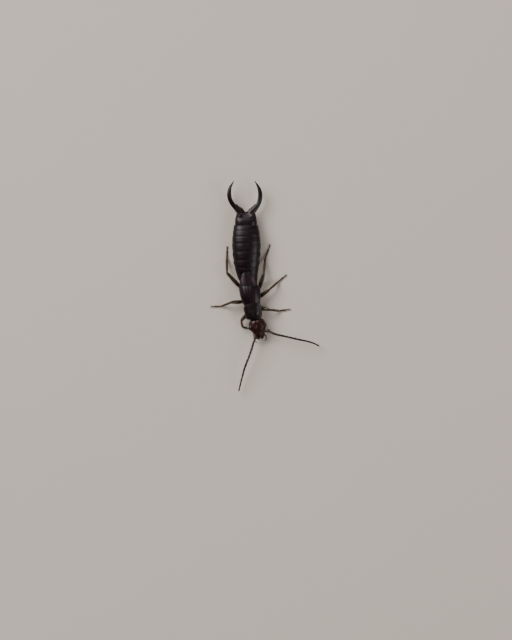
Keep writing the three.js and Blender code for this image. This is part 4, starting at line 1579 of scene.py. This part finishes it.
class EarwigSizes(bpy.types.PropertyGroup):
    """Sizes of the earwig's pieces."""
    thigh: length("Thigh", "Thickness of the thighs", 0.00052)
    shin: length("Shin", "Thickness of the shins", 0.0003)
    foot: length("Foot", "Thickness of the feet", 0.0002)
    scape: length("First joint", "Thickness of the antenna's first joint", 0.00042)
    feeler: length("Feeler", "Thickness of the antenna past its first joint", 0.00029)
    arm: length("Forceps arm", "Thickness of a forceps arm", 0.0005)
    plate: length("Plate", "Thickness of the shell plates", 0.00004)
    plate_step: length("Plate step", "Height of a plate's hind edge over the next plate", 0.00006)
    hair_length: length("Hair length", "Length of the longest hairs", 0.00014)
    hair_thickness: length("Hair thickness", "Thickness of a hair at its root", 0.00001)
    hair_density: bpy.props.FloatProperty(
        name="Hair density", description="Hairs for each square metre of shell", default=3.6e7, min=0)


class EarwigColours(bpy.types.PropertyGroup):
    """Colours of the earwig's finishes."""
    head: tint("Head", "Reddish-brown head", (0.0185, 0.003, 0.0015))
    thorax: tint("Thorax", "Dark brown thorax", (0.0065, 0.0021, 0.0021))
    shield_edge: tint("Shield edge", "Paler edge of the neck shield", (0.027, 0.012, 0.008))
    wing_case: tint("Wing case", "Dark brown wing cases", (0.0062, 0.0009, 0.0031))
    wing_tip: tint("Wing tip", "Brown wing tips", (0.0068, 0.0016, 0.0035))
    wing_spot: tint("Wing spot", "Paler spot on each wing tip", (0.05, 0.03, 0.033))
    abdomen: tint("Abdomen", "Nearly black abdomen", (0.0044, 0.0005, 0.0024))
    plate_edge: tint("Plate edge", "Reddish hind edge of each plate", (0.012, 0.003, 0.0028))
    forceps: tint("Forceps", "Nearly black forceps", (0.004, 0.0012, 0.0012))
    leg: tint("Leg", "Yellowish-brown legs", (0.022, 0.0118, 0.0048))
    foot: tint("Foot", "Paler feet and shin ends", (0.044, 0.0245, 0.0102))
    antenna: tint("Antenna", "Dark brown antennae", (0.0085, 0.0042, 0.0032))
    antenna_root: tint("Antenna root", "Reddish first joints of the antennae", (0.022, 0.0065, 0.0042))
    eye: tint("Eye", "Black eyes", (0.005, 0.0035, 0.0035))
    skin: tint("Skin", "Soft skin between the plates", (0.014, 0.0055, 0.005))
    hair: tint("Hair", "Amber hairs", (0.22, 0.13, 0.06))
    floor: tint("Floor", "Pale floor", (0.525, 0.455, 0.4))


class EARWIG_OT_stage(bpy.types.Operator):
    """Make the floor, the lights and the camera"""
    bl_idname = "earwig.stage"
    bl_label = "Stage"

    def execute(self, context):
        make_stage()
        return {"FINISHED"}


class EARWIG_OT_soft_body(bpy.types.Operator):
    """Make the soft skin that joins head, thorax and abdomen"""
    bl_idname = "earwig.soft_body"
    bl_label = "Soft Skin"

    def execute(self, context):
        make_soft_body()
        return {"FINISHED"}


class EARWIG_OT_head(bpy.types.Operator):
    """Make the head capsule, with its sutures, eye rims and sockets"""
    bl_idname = "earwig.head"
    bl_label = "Head"

    def execute(self, context):
        make_head()
        return {"FINISHED"}


class EARWIG_OT_eyes(bpy.types.Operator):
    """Make the two compound eyes"""
    bl_idname = "earwig.eyes"
    bl_label = "Eyes"

    def execute(self, context):
        make_eyes()
        return {"FINISHED"}


class EARWIG_OT_mouthparts(bpy.types.Operator):
    """Make the lips, jaws and chin"""
    bl_idname = "earwig.mouthparts"
    bl_label = "Mouthparts"

    def execute(self, context):
        make_mouthparts()
        return {"FINISHED"}


class EARWIG_OT_palps(bpy.types.Operator):
    """Make the four jointed feelers of the mouth"""
    bl_idname = "earwig.palps"
    bl_label = "Mouth Feelers"

    def execute(self, context):
        make_palps()
        return {"FINISHED"}


class EARWIG_OT_antennae(bpy.types.Operator):
    """Make the two jointed antennae"""
    bl_idname = "earwig.antennae"
    bl_label = "Antennae"

    def execute(self, context):
        make_antennae(context.scene.earwig_sizes)
        return {"FINISHED"}


class EARWIG_OT_shield(bpy.types.Operator):
    """Make the domed plate behind the head"""
    bl_idname = "earwig.shield"
    bl_label = "Neck Shield"

    def execute(self, context):
        make_shield()
        return {"FINISHED"}


class EARWIG_OT_thorax_plates(bpy.types.Operator):
    """Make the breast plates and side plates"""
    bl_idname = "earwig.thorax_plates"
    bl_label = "Thorax Plates"

    def execute(self, context):
        make_thorax_plates(context.scene.earwig_sizes)
        return {"FINISHED"}


class EARWIG_OT_wing_cases(bpy.types.Operator):
    """Make the two leathery wing cases"""
    bl_idname = "earwig.wing_cases"
    bl_label = "Wing Cases"

    def execute(self, context):
        make_wing_cases()
        return {"FINISHED"}


class EARWIG_OT_wing_tips(bpy.types.Operator):
    """Make the folded tips of the hind wings"""
    bl_idname = "earwig.wing_tips"
    bl_label = "Wing Tips"

    def execute(self, context):
        make_wing_tips()
        return {"FINISHED"}


class EARWIG_OT_abdomen(bpy.types.Operator):
    """Make the back plates and belly plates of the abdomen"""
    bl_idname = "earwig.abdomen"
    bl_label = "Abdomen"

    def execute(self, context):
        make_abdomen(context.scene.earwig_sizes)
        return {"FINISHED"}


class EARWIG_OT_last_plate(bpy.types.Operator):
    """Make the large last plate and the small plates below it"""
    bl_idname = "earwig.last_plate"
    bl_label = "Last Plate"

    def execute(self, context):
        make_last_plate()
        return {"FINISHED"}


class EARWIG_OT_forceps(bpy.types.Operator):
    """Make the two bowed arms of the forceps"""
    bl_idname = "earwig.forceps"
    bl_label = "Forceps"

    def execute(self, context):
        make_forceps(context.scene.earwig_sizes)
        return {"FINISHED"}


class EARWIG_OT_legs(bpy.types.Operator):
    """Make the six jointed legs with their claws"""
    bl_idname = "earwig.legs"
    bl_label = "Legs"

    def execute(self, context):
        make_legs(context.scene.earwig_sizes)
        return {"FINISHED"}


class EARWIG_OT_hairs(bpy.types.Operator):
    """Grow the fine hairs of the body, legs, feelers and forceps"""
    bl_idname = "earwig.hairs"
    bl_label = "Hairs"

    def execute(self, context):
        make_hairs(context.scene.earwig_sizes)
        return {"FINISHED"}


OPERATORS = (
    EARWIG_OT_stage, EARWIG_OT_soft_body, EARWIG_OT_head, EARWIG_OT_eyes, EARWIG_OT_mouthparts,
    EARWIG_OT_palps, EARWIG_OT_antennae, EARWIG_OT_shield, EARWIG_OT_thorax_plates,
    EARWIG_OT_wing_cases, EARWIG_OT_wing_tips, EARWIG_OT_abdomen, EARWIG_OT_last_plate,
    EARWIG_OT_forceps, EARWIG_OT_legs, EARWIG_OT_hairs,
)


class EARWIG_PT_panel(bpy.types.Panel):
    """The earwig's pieces, sizes and colours"""
    bl_idname = "EARWIG_PT_panel"
    bl_label = "Earwig"
    bl_space_type = "VIEW_3D"
    bl_region_type = "UI"
    bl_category = "Earwig"

    def draw(self, context):
        for operator in OPERATORS:
            self.layout.operator(operator.bl_idname)
        for group in (context.scene.earwig_sizes, context.scene.earwig_colours):
            box = self.layout.box()
            for name in group.__annotations__:
                box.prop(group, name)


CLASSES = [EarwigSizes, EarwigColours, *OPERATORS, EARWIG_PT_panel]


def register():
    """Add the classes, and the sizes and colours that they read."""
    for item in CLASSES:
        bpy.utils.register_class(item)
    bpy.types.Scene.earwig_sizes = bpy.props.PointerProperty(type=EarwigSizes)
    bpy.types.Scene.earwig_colours = bpy.props.PointerProperty(type=EarwigColours)


def unregister():
    """Take out what register added."""
    del bpy.types.Scene.earwig_colours
    del bpy.types.Scene.earwig_sizes
    for item in reversed(CLASSES):
        bpy.utils.unregister_class(item)


def corners(box):
    """A box's two corners as plain lists of numbers."""
    return [[float(value) for value in corner] for corner in box]


def main():
    """Make every piece and the stage, and work out the sizes of the solids and of the dressed model."""
    register()
    for operator in OPERATORS:
        getattr(bpy.ops.earwig, operator.bl_idname.split(".")[1])()
    {"solids": corners(solid_box), "dressed": corners(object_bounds())}


if __name__ == "__main__":
    main()
